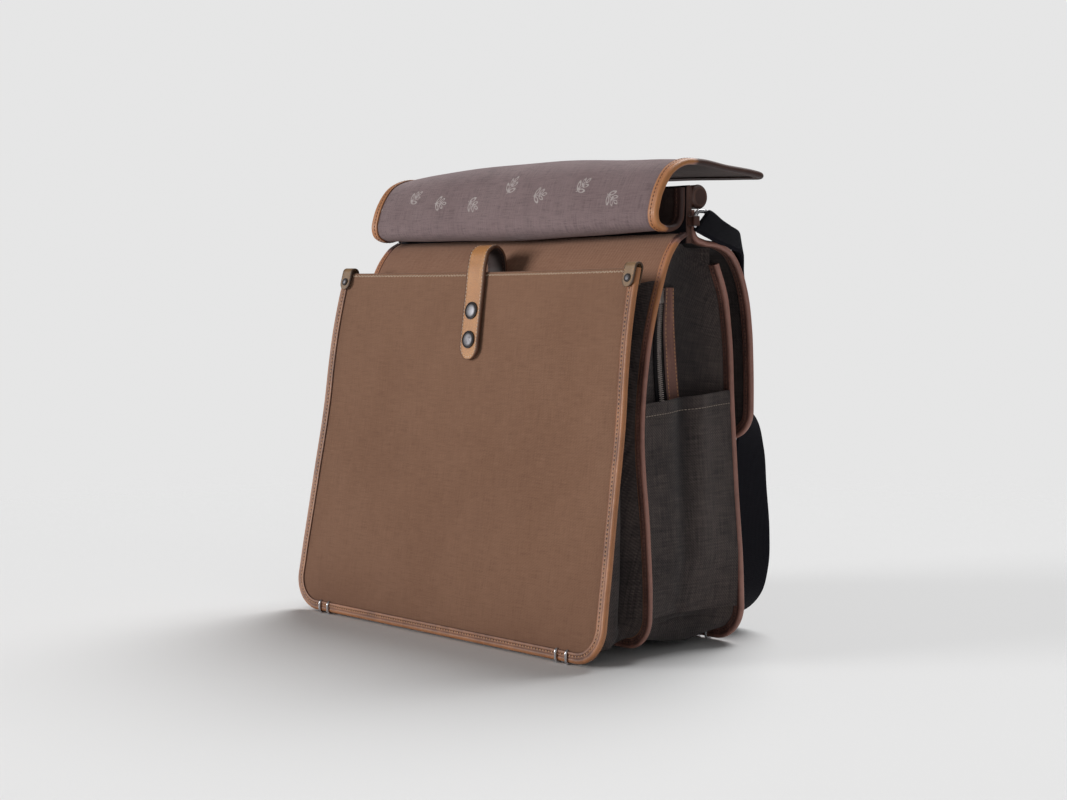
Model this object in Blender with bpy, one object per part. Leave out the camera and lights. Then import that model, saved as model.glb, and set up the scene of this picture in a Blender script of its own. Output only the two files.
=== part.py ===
"""Canvas and leather briefcase that stands on its own, made of its sewn and fitted pieces.

The rear slip pocket is on the -Y side, the front flap on the +Y side. The lined cover flap
is thrown back over the top in a loose roll. Lengths are in millimetres until a mesh is made.
X runs across the bag, Y from rear to front, Z up from the floor."""

import math

import bpy
import bmesh
import numpy as np
from mathutils import Matrix

MM = 0.001
GAP = 0.3

# Wall thicknesses
CANVAS = 3.0
LINED_FLAP = 2.4
GUSSET_CLOTH = 1.5
LEATHER = 1.2
STRAP_LEATHER = 2.6
WEBBING = 2.0

# Leather binding folded over an edge, as wide on each face as BINDING_DEPTH
BINDING_DEPTH = 8.5
BINDING_HALF = CANVAS / 2 + GAP + LEATHER
EDGE_ROOM = LEATHER + GAP
REACH = BINDING_HALF + GAP

# Widths across the bag, measured from its middle to the outside of the binding
FOOT_HALF = 186.0
POCKET_TOP_HALF = 175.5
PANEL_TOP_HALF = 172.0
FLAP_HALF = 172.8
RIDGE_HALF = 169.5
FLAP_ROOT_HALF = 168.3

# The pocket and front panels stand on wire staples, and the back panel hangs clear of the floor
STAPLE_WIRE = 1.2
STAPLE_LIFT = STAPLE_WIRE + GAP
BACK_LIFT = 7.5

# Profiles seen from the side, from the free edge up: y, z, bulge of the middle
POCKET_ROWS = [
    (0.0, STAPLE_LIFT, 0.0), (0.0, 9.0, 0.0), (4.5, 45.0, 0.8), (9.0, 72.0, 2.2), (17.0, 120.0, 5.0),
    (26.4, 177.0, 7.0), (29.5, 205.0, 7.5), (34.0, 236.0, 7.0), (40.9, 268.0, 5.0), (45.6, 285.0, 3.5),
]
BACK_ROWS = [
    (47.8, BACK_LIFT, 0.0), (47.8, 15.0, 0.0), (49.6, 50.0, 0.0), (49.1, 89.0, 0.0), (46.4, 170.0, 0.0),
    (50.7, 204.0, 0.0), (57.5, 235.0, 0.0), (68.3, 267.0, 0.0), (83.8, 298.5, 0.0),
    (91.0, 306.0, 0.0), (99.2, 310.6, 0.0),
]
FRONT_ROWS = [
    (150.0, STAPLE_LIFT, 0.0), (150.0, 9.0, 0.0), (150.6, 60.0, 1.0), (148.0, 118.0, 3.0),
    (146.3, 180.0, 4.0), (145.1, 242.0, 3.0), (142.0, 266.0, 1.0), (133.5, 289.0, 0.0),
]
FRONT_FLAP_ROWS = [
    (173.2, 154.0, 0.0), (174.2, 172.0, 0.0), (174.7, 215.0, 0.0), (173.6, 240.0, 0.0),
    (168.8, 268.4, 0.0), (162.3, 284.6, 0.0), (151.5, 297.8, 0.0), (137.5, 303.4, 1.0),
    (122.0, 305.2, 1.0), (113.2, 308.6, 0.0), (110.1, 315.0, 0.0), (110.1, 329.0, 0.0),
]
COVER_ROWS = [
    (196.0, 357.0, 4.5), (182.0, 359.2, 4.5), (147.0, 362.0, 5.0), (118.0, 364.6, 7.0),
    (101.0, 363.4, 7.5), (87.4, 357.0, 6.0), (77.6, 345.5, 3.0), (71.6, 332.0, 1.5),
    (70.0, 324.0, 1.5), (71.8, 318.2, 2.5), (77.5, 315.0, 3.5), (85.7, 314.5, 2.5),
    (92.6, 316.8, 0.0), (96.9, 322.0, 0.0), (97.9, 330.0, 0.0), (97.9, 345.0, 0.0),
]
STRAP_ROWS = [
    (34.9, 215.0, 0.0), (37.1, 232.0, 0.0), (40.8, 255.0, 0.0), (44.0, 275.0, 0.0),
    (46.6, 291.0, 0.0), (51.0, 301.4, 0.0), (57.5, 304.4, 0.0), (64.0, 300.6, 0.0),
    (67.4, 290.5, 0.0), (66.8, 278.0, 0.0), (62.9, 262.5, 0.0), (58.1, 248.0, 0.0),
]

PANEL_CORNER = 28.0
BACK_CORNER = 23.0
FRONT_FLAP_CORNER = 22.0
COVER_CORNER = 12.0

# Closing strap with two snaps, each a dome of distances off the leather and radii
STRAP_HALF = 11.0
STRAP_CORNER = 10.5
SNAP_FROM_END = {"snap_upper": 39.0, "snap_lower": 16.0}
SNAP_DOME = [(0.3, 6.4), (1.1, 7.0), (2.1, 5.8), (2.9, 3.4), (3.1, 1.2)]
SNAP_SIDES = 12

# Gussets: depth of their edges inside the outline, how far their middle folds in, the first stop
# that they reach on their rear and front walls, and their columns from wall to wall
POCKET_GUSSET_INSET = 5.5
POCKET_GUSSET_FOLD = 16.0
POCKET_GUSSET_TOPS = (1, 2)
POCKET_GUSSET_COLUMNS = 4
BODY_GUSSET_INSET = 6.5
BODY_GUSSET_FOLD = 8.0
BODY_GUSSET_TOPS = (1, 0)
BODY_GUSSET_COLUMNS = 6

# Side pocket, zipper and leather strip on the side gusset. The shares of the bag's depth are
# those of a strip's two edges, first at its foot and then at its top.
HEM_REAR_Z = 187.0
HEM_FRONT_Z = 194.0
STOPS_BELOW_HEM = 7
SIDE_POCKET_COLUMNS = 6
SIDE_POCKET_SLOPE = 40.0
SIDE_POCKET_INSET = 1.6
SIDE_INSET = BODY_GUSSET_INSET - 2 * GAP - GUSSET_CLOTH
ZIP_SPAN = (197.0, 272.0)
ZIP_ROWS = 7
ZIP_SHARES = ((0.25, 0.37), (0.05, 0.19))
ZIP_STRIP_SHARES = ((0.39, 0.54), (0.21, 0.39))

# Ridge along the top
RIDGE_BACK_Y = 101.2
RIDGE_FRONT_Y = 106.8
RIDGE_FOOT_Z = 304.0
RIDGE_TOP_Z = 347.0
RIDGE_END = 1.5
RIDGE_BEVEL_Z = 2.0
RIDGE_BEVEL_Y = 1.2
ROD_RADIUS = 9.2
ROD_SIDES = 14
ROD_CAP = [(0.0, 0.55), (1.5, 0.8), (4.0, 0.97), (7.0, 1.0)]
ROD_Y = RIDGE_FRONT_Y + GAP + ROD_RADIUS
ROD_Z = 338.9

# Rings that carry the shoulder strap, each in a leather loop on the end of the ridge
RING_WIRE_RADIUS = 1.5
RING_HALF_DEPTH = 7.5
RING_HALF_HEIGHT = 9.5
RING_CORNER = 5.5
RING_Y = 115.5
RING_Z = 320.5
RING_LOOP_LEATHER = 1.5
RING_LOOP_HALF = 3.8
RING_LOOP_END_Y = RIDGE_BACK_Y + 0.4
RING_SIDES = 6
RING_X = RIDGE_HALF + GAP + RING_LOOP_LEATHER + GAP + RING_WIRE_RADIUS

# Right half of the shoulder strap: x, y, z, half width, direction of the width
SHOULDER_ROWS = [
    (173.4, 125.4, 320.5, 7.5, 0.0, 0.0, 1.0), (173.0, 129.5, 320.3, 9.0, -0.15, 0.0, 1.0),
    (168.0, 138.5, 318.0, 15.0, -0.5, 0.0, 0.8), (158.5, 148.5, 313.5, 19.0, -0.85, 0.0, 0.5),
    (150.5, 158.0, 306.0, 19.0, -1.0, 0.0, 0.12), (148.0, 167.0, 293.0, 19.0, -1.0, 0.0, 0.0),
    (147.5, 173.4, 276.0, 19.0, -1.0, 0.0, 0.0), (147.5, 178.4, 250.0, 19.0, -1.0, 0.0, 0.0),
    (147.5, 180.4, 215.0, 19.0, -1.0, 0.0, 0.0), (147.5, 181.6, 188.0, 19.0, -1.0, 0.0, 0.0),
    (148.5, 187.0, 166.0, 19.0, -0.94, 0.34, 0.0), (151.5, 190.6, 144.0, 19.0, -0.7, 0.72, 0.0),
    (155.0, 191.6, 114.0, 19.0, -0.28, 0.96, 0.0),
    (157.0, 192.2, 75.0, 19.0, 0.0, 1.0, 0.0), (154.5, 191.6, 44.0, 19.0, 0.0, 1.0, 0.0),
    (146.0, 190.2, 19.0, 19.0, 0.0, 1.0, 0.0), (130.0, 189.2, 5.5, 19.0, 0.0, 1.0, 0.0),
    (108.0, 188.6, 1.7, 19.0, 0.0, 1.0, 0.0), (54.0, 188.5, 1.5, 19.0, 0.0, 1.0, 0.0),
]

# Wire staples, in pairs across the foot of the pocket and front panels
STAPLE_X = (138.5, 149.5)
STAPLE_INNER_LEG = 4.0
STAPLE_BEND = 0.5
STAPLE_TIP = BINDING_DEPTH + 1.6
STAPLE_SHOULDER = BINDING_DEPTH + 1.2
STAPLE_KNEE = BINDING_DEPTH - 1.0
STAPLE_LEAN = 0.6

# Leather tabs with a rivet on the pocket's top corners
TAB_X = 168.6
TAB_HALF = 6.4
TAB_LEATHER = 1.6
TAB_FRONT_LENGTH = 20.0
TAB_REAR_LENGTH = 12.0
RIVET_FROM_TOP = 9.0
RIVET_DOME = [(0.3, 2.6), (0.9, 2.6), (1.5, 1.2)]
RIVET_SIDES = 10

# Colour, roughness and metallic value of each material
FINISHES = {
    "brown_canvas": ((0.21, 0.115, 0.073), 0.9, 0.0),
    "grey_lining": ((0.18, 0.145, 0.15), 0.8, 0.0),
    "dark_canvas": ((0.038, 0.03, 0.03), 0.9, 0.0),
    "tan_leather": ((0.51, 0.23, 0.09), 0.5, 0.0),
    "dark_leather": ((0.2, 0.085, 0.05), 0.5, 0.0),
    "webbing": ((0.008, 0.008, 0.012), 0.9, 0.0),
    "steel": ((0.55, 0.54, 0.52), 0.3, 1.0),
}


def clear_scene():
    """Remove every object that the scene starts with."""
    for thing in list(bpy.data.objects):
        bpy.data.objects.remove(thing, do_unlink=True)


def finish(name):
    """Give the named material, made the first time that it is asked for."""
    made = bpy.data.materials.get(name)
    if made:
        return made
    colour, roughness, metallic = FINISHES[name]
    made = bpy.data.materials.new(name)
    made.use_nodes = True
    shader = made.node_tree.nodes["Principled BSDF"]
    shader.inputs["Base Color"].default_value = (*colour, 1.0)
    shader.inputs["Roughness"].default_value = roughness
    shader.inputs["Metallic"].default_value = metallic
    return made


def solid(name, points, faces, material):
    """Make one closed object of points in millimetres, its faces turned outwards."""
    mesh = bpy.data.meshes.new(name)
    mesh.from_pydata((np.asarray(points) * MM).tolist(), [], faces)
    work = bmesh.new()
    work.from_mesh(mesh)
    bmesh.ops.recalc_face_normals(work, faces=work.faces)
    work.to_mesh(mesh)
    work.free()
    mesh.materials.append(finish(material))
    thing = bpy.data.objects.new(name, mesh)
    bpy.context.scene.collection.objects.link(thing)
    return thing


def slab(name, front, back, material):
    """Close two grids of points, rows by columns, into one thin wall."""
    rows, columns = front.shape[:2]
    index = np.arange(rows * columns).reshape(rows, columns)
    other = index + rows * columns
    faces = []
    for i in range(rows - 1):
        for j in range(columns - 1):
            faces.append((index[i, j], index[i, j + 1], index[i + 1, j + 1], index[i + 1, j]))
            faces.append((other[i, j], other[i + 1, j], other[i + 1, j + 1], other[i, j + 1]))
    border = np.concatenate([index[0, :], index[1:, -1], index[-1, -2::-1], index[-2:0:-1, 0]])
    for here, there in zip(border, np.roll(border, -1)):
        faces.append((there, here, here + rows * columns, there + rows * columns))
    points = np.concatenate([front.reshape(-1, 3), back.reshape(-1, 3)])
    return solid(name, points, [tuple(int(k) for k in face) for face in faces], material)


def swept(name, rings, material, closed=False):
    """Join rings of points into a tube, capped at both ends or closed on itself."""
    count, around = rings.shape[:2]
    faces = []
    for i in range(count if closed else count - 1):
        here, there = i * around, (i + 1) % count * around
        for j in range(around):
            k = (j + 1) % around
            faces.append((here + j, here + k, there + k, there + j))
    if not closed:
        faces.append(tuple(range(around)))
        faces.append(tuple((count - 1) * around + j for j in reversed(range(around))))
    return solid(name, rings.reshape(-1, 3), faces, material)


def smooth(rows, steps=10):
    """Read a smooth curve through the rows: cubic Hermite spans on the length of their chords."""
    rows = np.asarray(rows, float)
    chord = np.linalg.norm(np.diff(rows[:, :2], axis=0), axis=1)
    place = np.concatenate([[0.0], np.cumsum(chord)])
    slope = np.gradient(rows, place, axis=0)
    slope[0] = (rows[1] - rows[0]) / chord[0]
    slope[-1] = (rows[-1] - rows[-2]) / chord[-1]
    t = np.linspace(0.0, 1.0, steps, endpoint=False)[None, :, None]
    span = chord[:, None, None]
    curve = ((1 + 2 * t) * (1 - t) ** 2 * rows[:-1, None] + t * (1 - t) ** 2 * span * slope[:-1, None]
             + t ** 2 * (3 - 2 * t) * rows[1:, None] + t ** 2 * (t - 1) * span * slope[1:, None])
    return np.concatenate([curve.reshape(-1, rows.shape[1]), rows[-1:]])


class Wall:
    """A bent sheet that is level across X.

    A place on it is x, the length s along its profile from the free edge, and the distance n
    off its middle. An upright wall has n towards the front. Every piece that meets the wall is
    cut at its stops, the lengths from its top to the start of its rounded corner, with one stop
    at the height of the side pocket's hem."""

    def __init__(self, rows, foot_half, top_half, corner, hem=None, above=6):
        y, z, bulge = smooth(rows).T
        self.y, self.z, self.bulge = y, z, bulge
        self.s = np.concatenate([[0.0], np.cumsum(np.hypot(np.diff(y), np.diff(z)))])
        self.length = self.s[-1]
        self.foot_half, self.top_half, self.corner = foot_half, top_half, corner
        self.ty = np.gradient(y, self.s)
        self.tz = np.gradient(z, self.s)
        hem = (corner + self.length) / 2 if hem is None else self.at_height(hem)
        self.stops = np.concatenate([np.linspace(self.length, hem, above + 1)[:-1],
                                     np.linspace(hem, corner, STOPS_BELOW_HEM + 1)])

    def half(self, s):
        """Half the width at the length s."""
        return self.foot_half + (self.top_half - self.foot_half) * np.asarray(s) / self.length

    def at_height(self, z):
        """The length s at which an upright wall reaches the height z."""
        return np.interp(z, self.z, self.s)

    def place(self, x, s, n):
        """The point of x, s and n, past the ends along the end's own direction."""
        x, s, n = np.broadcast_arrays(np.asarray(x, float), s, n)
        held = np.clip(s, 0.0, self.length)
        ty, tz = np.interp(held, self.s, self.ty), np.interp(held, self.s, self.tz)
        size = np.hypot(ty, tz)
        ty, tz = ty / size, tz / size
        crown = np.interp(held, self.s, self.bulge) * (1 - (x / self.half(held)) ** 2)
        y = np.interp(held, self.s, self.y) + (s - held) * ty + (n + crown) * tz
        z = np.interp(held, self.s, self.z) + (s - held) * tz - (n + crown) * ty
        return np.stack([x, y, z], axis=-1)

    def edge(self, inset, skip=0, turn=5):
        """Right half of the outline, inset by some depth: x and s from the top to the foot."""
        s_side = self.stops[skip:]
        angle = np.linspace(0.0, math.pi / 2, turn + 1)[1:]
        radius = self.corner - inset
        x = np.concatenate([self.half(s_side) - inset,
                            self.half(self.corner) - self.corner + radius * np.cos(angle)])
        return x, np.concatenate([s_side, self.corner - radius * np.sin(angle)])

    def rim(self, inset, skip=0, turn=5, foot=1):
        """The whole outline, from the right top round the foot, in some spans, to the left top."""
        x, s = self.edge(inset, skip, turn)
        along = np.linspace(1.0, -1.0, foot + 1)[1:-1] * x[-1]
        return np.concatenate([x, along, -x[::-1]]), np.concatenate([s, 0 * along + s[-1], s[::-1]])


def sheet(name, wall, thick, material, columns=4, turn=5):
    """The cloth of a wall, which stops inside the fold of its binding."""
    x, s = wall.edge(EDGE_ROOM, 0, turn)
    across = np.linspace(-1.0, 1.0, columns + 1)
    grid_x, grid_s = x[:, None] * across, s[:, None] + 0 * across
    front = wall.place(grid_x, grid_s, thick / 2)
    return slab(name, front, wall.place(grid_x, grid_s, -thick / 2), material)


def binding(name, wall, thick, material, turn=5, foot=1):
    """Leather folded over both faces of a wall's edge, swept round its outline."""
    inner = thick / 2 + GAP
    outer = inner + LEATHER
    section = [(0.0, outer), (0.0, -outer), (BINDING_DEPTH, -outer), (BINDING_DEPTH, -inner),
               (LEATHER, -inner), (LEATHER, inner), (BINDING_DEPTH, inner), (BINDING_DEPTH, outer)]
    lines = []
    for inset, n in section:
        x, s = wall.rim(inset, 0, turn, foot)
        lines.append(wall.place(x, s, n))
    return swept(name, np.stack(lines, axis=1), material)


def fold_shape(share):
    """How far the cloth between two walls folds in, from 0 at its edges to 1 at its middle."""
    return np.sin(np.pi * share)


def gusset(name, rear, front, tops, inset, fold, columns, material):
    """U-shaped cloth between the rims of two walls, folded inwards along its middle.

    Tops are the stops of the rear and front walls at which it ends."""
    share = np.linspace(0.0, 1.0, columns + 1)
    layers = []
    for depth in (inset, inset + GUSSET_CLOTH):
        grids = []
        for extra in (0.0, 1.0):
            x, s = rear.rim(depth + extra, tops[0])
            first = rear.place(x, s, REACH)
            x, s = front.rim(depth + extra, tops[1])
            last = front.place(x, s, -REACH)
            grids.append(first[:, None] + (last - first)[:, None] * share[None, :, None])
        inward = grids[1] - grids[0]
        layers.append(grids[0] + inward * (fold * fold_shape(share))[None, :, None])
    return slab(name, layers[0], layers[1], material)


def side_piece(name, side, rear, front, lengths, shares, insets, folds, material):
    """A piece on one side of the bag, between lengths up its walls and shares of its depth.

    The shares are a row for each length, or one row that serves them all."""
    share = np.broadcast_to(shares, (len(insets), np.shape(shares)[-1]))
    layers = []
    for depth in (insets, insets + GUSSET_CLOTH):
        inset = depth[:, None] + folds[:, None] * fold_shape(share)
        ends = []
        for wall, length, n in ((rear, lengths[0], REACH), (front, lengths[1], -REACH)):
            s = length[:, None] + 0 * share
            ends.append(wall.place(wall.half(s) - inset, s, n))
        grid = ends[0] + (ends[1] - ends[0]) * share[:, :, None]
        layers.append(grid * np.array([side, 1.0, 1.0]))
    return slab(name, layers[0], layers[1], material)


def turned(name, origin, axis, rows, sides, material):
    """A round solid about an axis, from rows of distance along it and radius."""
    axis = np.asarray(axis, float) / np.linalg.norm(axis)
    helper = np.array([0.0, 0.0, 1.0]) if abs(axis[2]) < 0.9 else np.array([1.0, 0.0, 0.0])
    first = np.cross(axis, helper)
    first /= np.linalg.norm(first)
    second = np.cross(axis, first)
    angle = np.linspace(0.0, 2 * math.pi, sides, endpoint=False)[:, None]
    circle = np.cos(angle) * first + np.sin(angle) * second
    rings = [np.asarray(origin) + along * axis + radius * circle for along, radius in rows]
    return swept(name, np.stack(rings), material)


def wire(name, path, radius, sides, material, closed=False):
    """Round wire along a path that lies in a plane across X."""
    tangent = np.roll(path, -1, axis=0) - np.roll(path, 1, axis=0)
    if not closed:
        tangent[0], tangent[-1] = path[1] - path[0], path[-1] - path[-2]
    tangent /= np.linalg.norm(tangent, axis=1)[:, None]
    across = np.array([1.0, 0.0, 0.0])
    normal = np.cross(tangent, across)
    angle = np.linspace(0.0, 2 * math.pi, sides, endpoint=False)[None, :, None] + math.pi / sides
    rings = path[:, None] + radius * (np.cos(angle) * across + np.sin(angle) * normal[:, None])
    return swept(name, rings, material, closed)


def arc(centre, radius, start, end, count):
    """Points on an arc in a plane, its angles in degrees."""
    angle = np.radians(np.linspace(start, end, count))
    return np.stack([centre[0] + radius * np.cos(angle), centre[1] + radius * np.sin(angle)], axis=1)


def make_panels(pocket, back, front):
    """The three upright panels and their bindings."""
    sheet("pocket_panel", pocket, CANVAS, "brown_canvas")
    binding("pocket_binding", pocket, CANVAS, "tan_leather")
    sheet("back_panel", back, CANVAS, "brown_canvas", columns=1)
    binding("back_binding", back, CANVAS, "tan_leather")
    sheet("front_panel", front, CANVAS, "dark_canvas")
    binding("front_binding", front, CANVAS, "dark_leather")


def make_flaps(front_flap, cover):
    """The front flap, closed, and the lined cover flap, thrown back in a roll."""
    sheet("front_flap", front_flap, LINED_FLAP, "dark_canvas")
    binding("front_flap_binding", front_flap, LINED_FLAP, "dark_leather")
    sheet("cover_flap", cover, LINED_FLAP, "grey_lining", turn=3, columns=6)
    binding("cover_flap_binding", cover, LINED_FLAP, "tan_leather", turn=3, foot=6)


def make_gussets(pocket, back, front):
    """The bellows of the rear pocket and the sides and bottom of the main body."""
    gusset("pocket_gusset", pocket, back, POCKET_GUSSET_TOPS, POCKET_GUSSET_INSET,
           POCKET_GUSSET_FOLD, POCKET_GUSSET_COLUMNS, "dark_canvas")
    gusset("body_gusset", back, front, BODY_GUSSET_TOPS, BODY_GUSSET_INSET,
           BODY_GUSSET_FOLD, BODY_GUSSET_COLUMNS, "dark_canvas")


def make_side(name_end, side, back, front):
    """The open pocket, the zipper and the leather strip on one side."""
    below = slice(-STOPS_BELOW_HEM - 1, None)
    lengths = (back.stops[below], front.stops[below])
    rise = np.clip((lengths[0] - back.corner) / SIDE_POCKET_SLOPE, 0.0, 1.0)
    insets = SIDE_INSET + (SIDE_POCKET_INSET - SIDE_INSET) * rise
    folds = BODY_GUSSET_FOLD * (1 - rise)
    side_piece("side_pocket_" + name_end, side, back, front, lengths,
               np.linspace(0.0, 1.0, SIDE_POCKET_COLUMNS + 1), insets, folds, "dark_canvas")
    heights = np.linspace(*ZIP_SPAN, ZIP_ROWS)
    lengths = (back.at_height(heights), front.at_height(heights))
    insets = np.full(ZIP_ROWS, SIDE_INSET)
    folds = np.full(ZIP_ROWS, BODY_GUSSET_FOLD)
    rise = np.linspace(0.0, 1.0, ZIP_ROWS)[:, None]
    for part, (foot, top), material in (("zipper_", ZIP_SHARES, "webbing"),
                                        ("zip_strip_", ZIP_STRIP_SHARES, "dark_leather")):
        shares = (1 - rise) * foot + rise * top
        side_piece(part + name_end, side, back, front, lengths, shares, insets, folds, material)


def make_closing_strap():
    """The strap from the back panel over the pocket's top, with a round end and two snaps."""
    strap = Wall(STRAP_ROWS, STRAP_HALF, STRAP_HALF, STRAP_CORNER, above=12)
    x, s = strap.edge(0.0, turn=4)
    grid_x = x[:, None] * np.array([-1.0, 1.0])
    grid_s = s[:, None] + 0 * grid_x
    slab("closing_strap", strap.place(grid_x, grid_s, STRAP_LEATHER / 2),
         strap.place(grid_x, grid_s, -STRAP_LEATHER / 2), "tan_leather")
    for name, s in SNAP_FROM_END.items():
        face = strap.place(0.0, s, -STRAP_LEATHER / 2)
        turned(name, face, face - strap.place(0.0, s, 0.0), SNAP_DOME, SNAP_SIDES, "steel")


def make_corner_tab(name_end, side, pocket):
    """A leather tab folded over the pocket's top corner, with its rivet."""
    leg = BINDING_HALF + GAP + TAB_LEATHER / 2
    top = pocket.length + GAP
    over = arc((0.0, top), leg, 180.0, 0.0, 7)
    path = np.concatenate([[(-leg, top - TAB_FRONT_LENGTH)], over, [(leg, top - TAB_REAR_LENGTH)]])
    across = side * TAB_X + np.array([-TAB_HALF, TAB_HALF])
    step = np.gradient(path, axis=0)
    step /= np.linalg.norm(step, axis=1)[:, None]
    layers = []
    for off in (TAB_LEATHER / 2, -TAB_LEATHER / 2):
        n = path[:, 0] - step[:, 1] * off
        s = path[:, 1] + step[:, 0] * off
        layers.append(pocket.place(across[None, :], s[:, None], n[:, None]))
    slab("corner_tab_" + name_end, layers[0], layers[1], "tan_leather")
    s = top - RIVET_FROM_TOP
    face = pocket.place(side * TAB_X, s, -(leg + TAB_LEATHER / 2))
    turned("corner_rivet_" + name_end, face, face - pocket.place(side * TAB_X, s, 0.0), RIVET_DOME,
           RIVET_SIDES, "steel")


def make_staples(name_start, wall, outside):
    """Four square wire staples round the foot of one panel, in a pair near each corner.

    The long leg runs up the outside of the binding, and its tip enters the cloth above it."""
    leg = BINDING_HALF + GAP + STAPLE_WIRE / 2
    foot = -GAP - STAPLE_WIRE / 2
    tip = CANVAS / 2 + GAP + STAPLE_WIRE / 2
    under = [(leg, foot + STAPLE_BEND), (leg - STAPLE_BEND, foot)]
    path = np.array([(tip, STAPLE_TIP), (leg - STAPLE_LEAN, STAPLE_SHOULDER), (leg, STAPLE_KNEE),
                     *under, *[(-n, s) for n, s in reversed(under)], (-leg, STAPLE_INNER_LEG)])
    for end, side in (("right", 1.0), ("left", -1.0)):
        for number, x in enumerate(STAPLE_X, 1):
            points = wall.place(side * x, path[:, 1], outside * path[:, 0])
            wire(f"{name_start}_staple_{end}_{number}", points, STAPLE_WIRE / math.sqrt(2), 4, "steel")


def make_ridge():
    """The upright band along the top with its leather ends, and the leather-covered rod."""
    half = RIDGE_HALF - RIDGE_END - GAP
    heights = np.array([RIDGE_FOOT_Z, RIDGE_TOP_Z - RIDGE_BEVEL_Z, RIDGE_TOP_Z])
    shrink = np.array([0.0, 0.0, RIDGE_BEVEL_Y])
    corners = np.array([-half, half])
    layers = []
    for y, inward in ((RIDGE_FRONT_Y, -1.0), (RIDGE_BACK_Y, 1.0)):
        grid = np.zeros((3, 2, 3))
        grid[..., 0] = corners
        grid[..., 1] = (y + inward * shrink)[:, None]
        grid[..., 2] = heights[:, None]
        layers.append(grid)
    slab("ridge_band", layers[0], layers[1], "dark_canvas")
    for end, side in (("right", 1.0), ("left", -1.0)):
        caps = []
        for x in (half + GAP, RIDGE_HALF):
            grid = np.zeros((3, 2, 3))
            grid[..., 0] = side * x
            grid[..., 1] = np.stack([RIDGE_BACK_Y + shrink, RIDGE_FRONT_Y - shrink], axis=1)
            grid[..., 2] = heights[:, None]
            caps.append(grid)
        slab("ridge_end_" + end, caps[0], caps[1], "dark_leather")
    rows = [(along, ROD_RADIUS * share) for along, share in ROD_CAP]
    rows += [(2 * RIDGE_HALF - along, ROD_RADIUS * share) for along, share in reversed(ROD_CAP)]
    turned("top_rod", (-RIDGE_HALF, ROD_Y, ROD_Z), (1.0, 0.0, 0.0), rows, ROD_SIDES, "dark_leather")


def make_ring(name_end, side):
    """A rounded wire ring and the leather loop that holds its rear bar."""
    depth, height = RING_HALF_DEPTH - RING_CORNER, RING_HALF_HEIGHT - RING_CORNER
    corners = [((depth, height), 0.0), ((-depth, height), 90.0), ((-depth, -height), 180.0),
               ((depth, -height), 270.0)]
    turns = [arc(centre, RING_CORNER, start, start + 90.0, 5) for centre, start in corners]
    flat = np.concatenate(turns)
    path = np.stack([np.full(len(flat), side * RING_X), RING_Y + flat[:, 0], RING_Z + flat[:, 1]],
                    axis=1)
    wire("ring_" + name_end, path, RING_WIRE_RADIUS, RING_SIDES, "steel", closed=True)
    radius = RING_WIRE_RADIUS + GAP + RING_LOOP_LEATHER / 2
    bar_y = RING_Y - RING_HALF_DEPTH
    over = arc((0.0, bar_y), radius, 180.0, 0.0, 7)
    line = np.concatenate([[(-radius, RING_LOOP_END_Y)], over, [(radius, RING_LOOP_END_Y)]])
    step = np.gradient(line, axis=0)
    step /= np.linalg.norm(step, axis=1)[:, None]
    layers = []
    for off in (RING_LOOP_LEATHER / 2, -RING_LOOP_LEATHER / 2):
        grid = np.zeros((len(line), 2, 3))
        grid[..., 0] = side * (RING_X + (line[:, 0] - step[:, 1] * off))[:, None]
        grid[..., 1] = (line[:, 1] + step[:, 0] * off)[:, None]
        grid[..., 2] = RING_Z + np.array([-RING_LOOP_HALF, RING_LOOP_HALF])
        layers.append(grid)
    slab("ring_loop_" + name_end, layers[0], layers[1], "dark_leather")


def make_shoulder_strap():
    """Flat webbing from ring to ring, down over the front flap and along the floor."""
    right = np.array(SHOULDER_ROWS)
    half = smooth(np.concatenate([right, right[-1:] * [0, 1, 1, 1, 1, 1, 1]]), steps=2)
    mirror = half[-2::-1] * np.array([-1.0, 1.0, 1.0, 1.0, -1.0, 1.0, 1.0])
    rows = np.concatenate([half, mirror])
    centre, width = rows[:, :3], rows[:, 4:7]
    tangent = np.gradient(centre, axis=0)
    tangent /= np.linalg.norm(tangent, axis=1)[:, None]
    width = width - (width * tangent).sum(axis=1)[:, None] * tangent
    width /= np.linalg.norm(width, axis=1)[:, None]
    normal = np.cross(tangent, width)
    edges = np.stack([centre - width * rows[:, 3:4], centre + width * rows[:, 3:4]], axis=1)
    off = normal[:, None] * WEBBING / 2
    slab("shoulder_strap", edges + off, edges - off, "webbing")


def centre_over_origin():
    """Slide the bag along Y so that its box stands centred on the origin."""
    corners = [point.co.y for thing in bpy.data.objects for point in thing.data.vertices]
    shift = -(min(corners) + max(corners)) / 2
    for thing in bpy.data.objects:
        thing.data.transform(Matrix.Translation((0.0, shift, 0.0)))
    return shift


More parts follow.
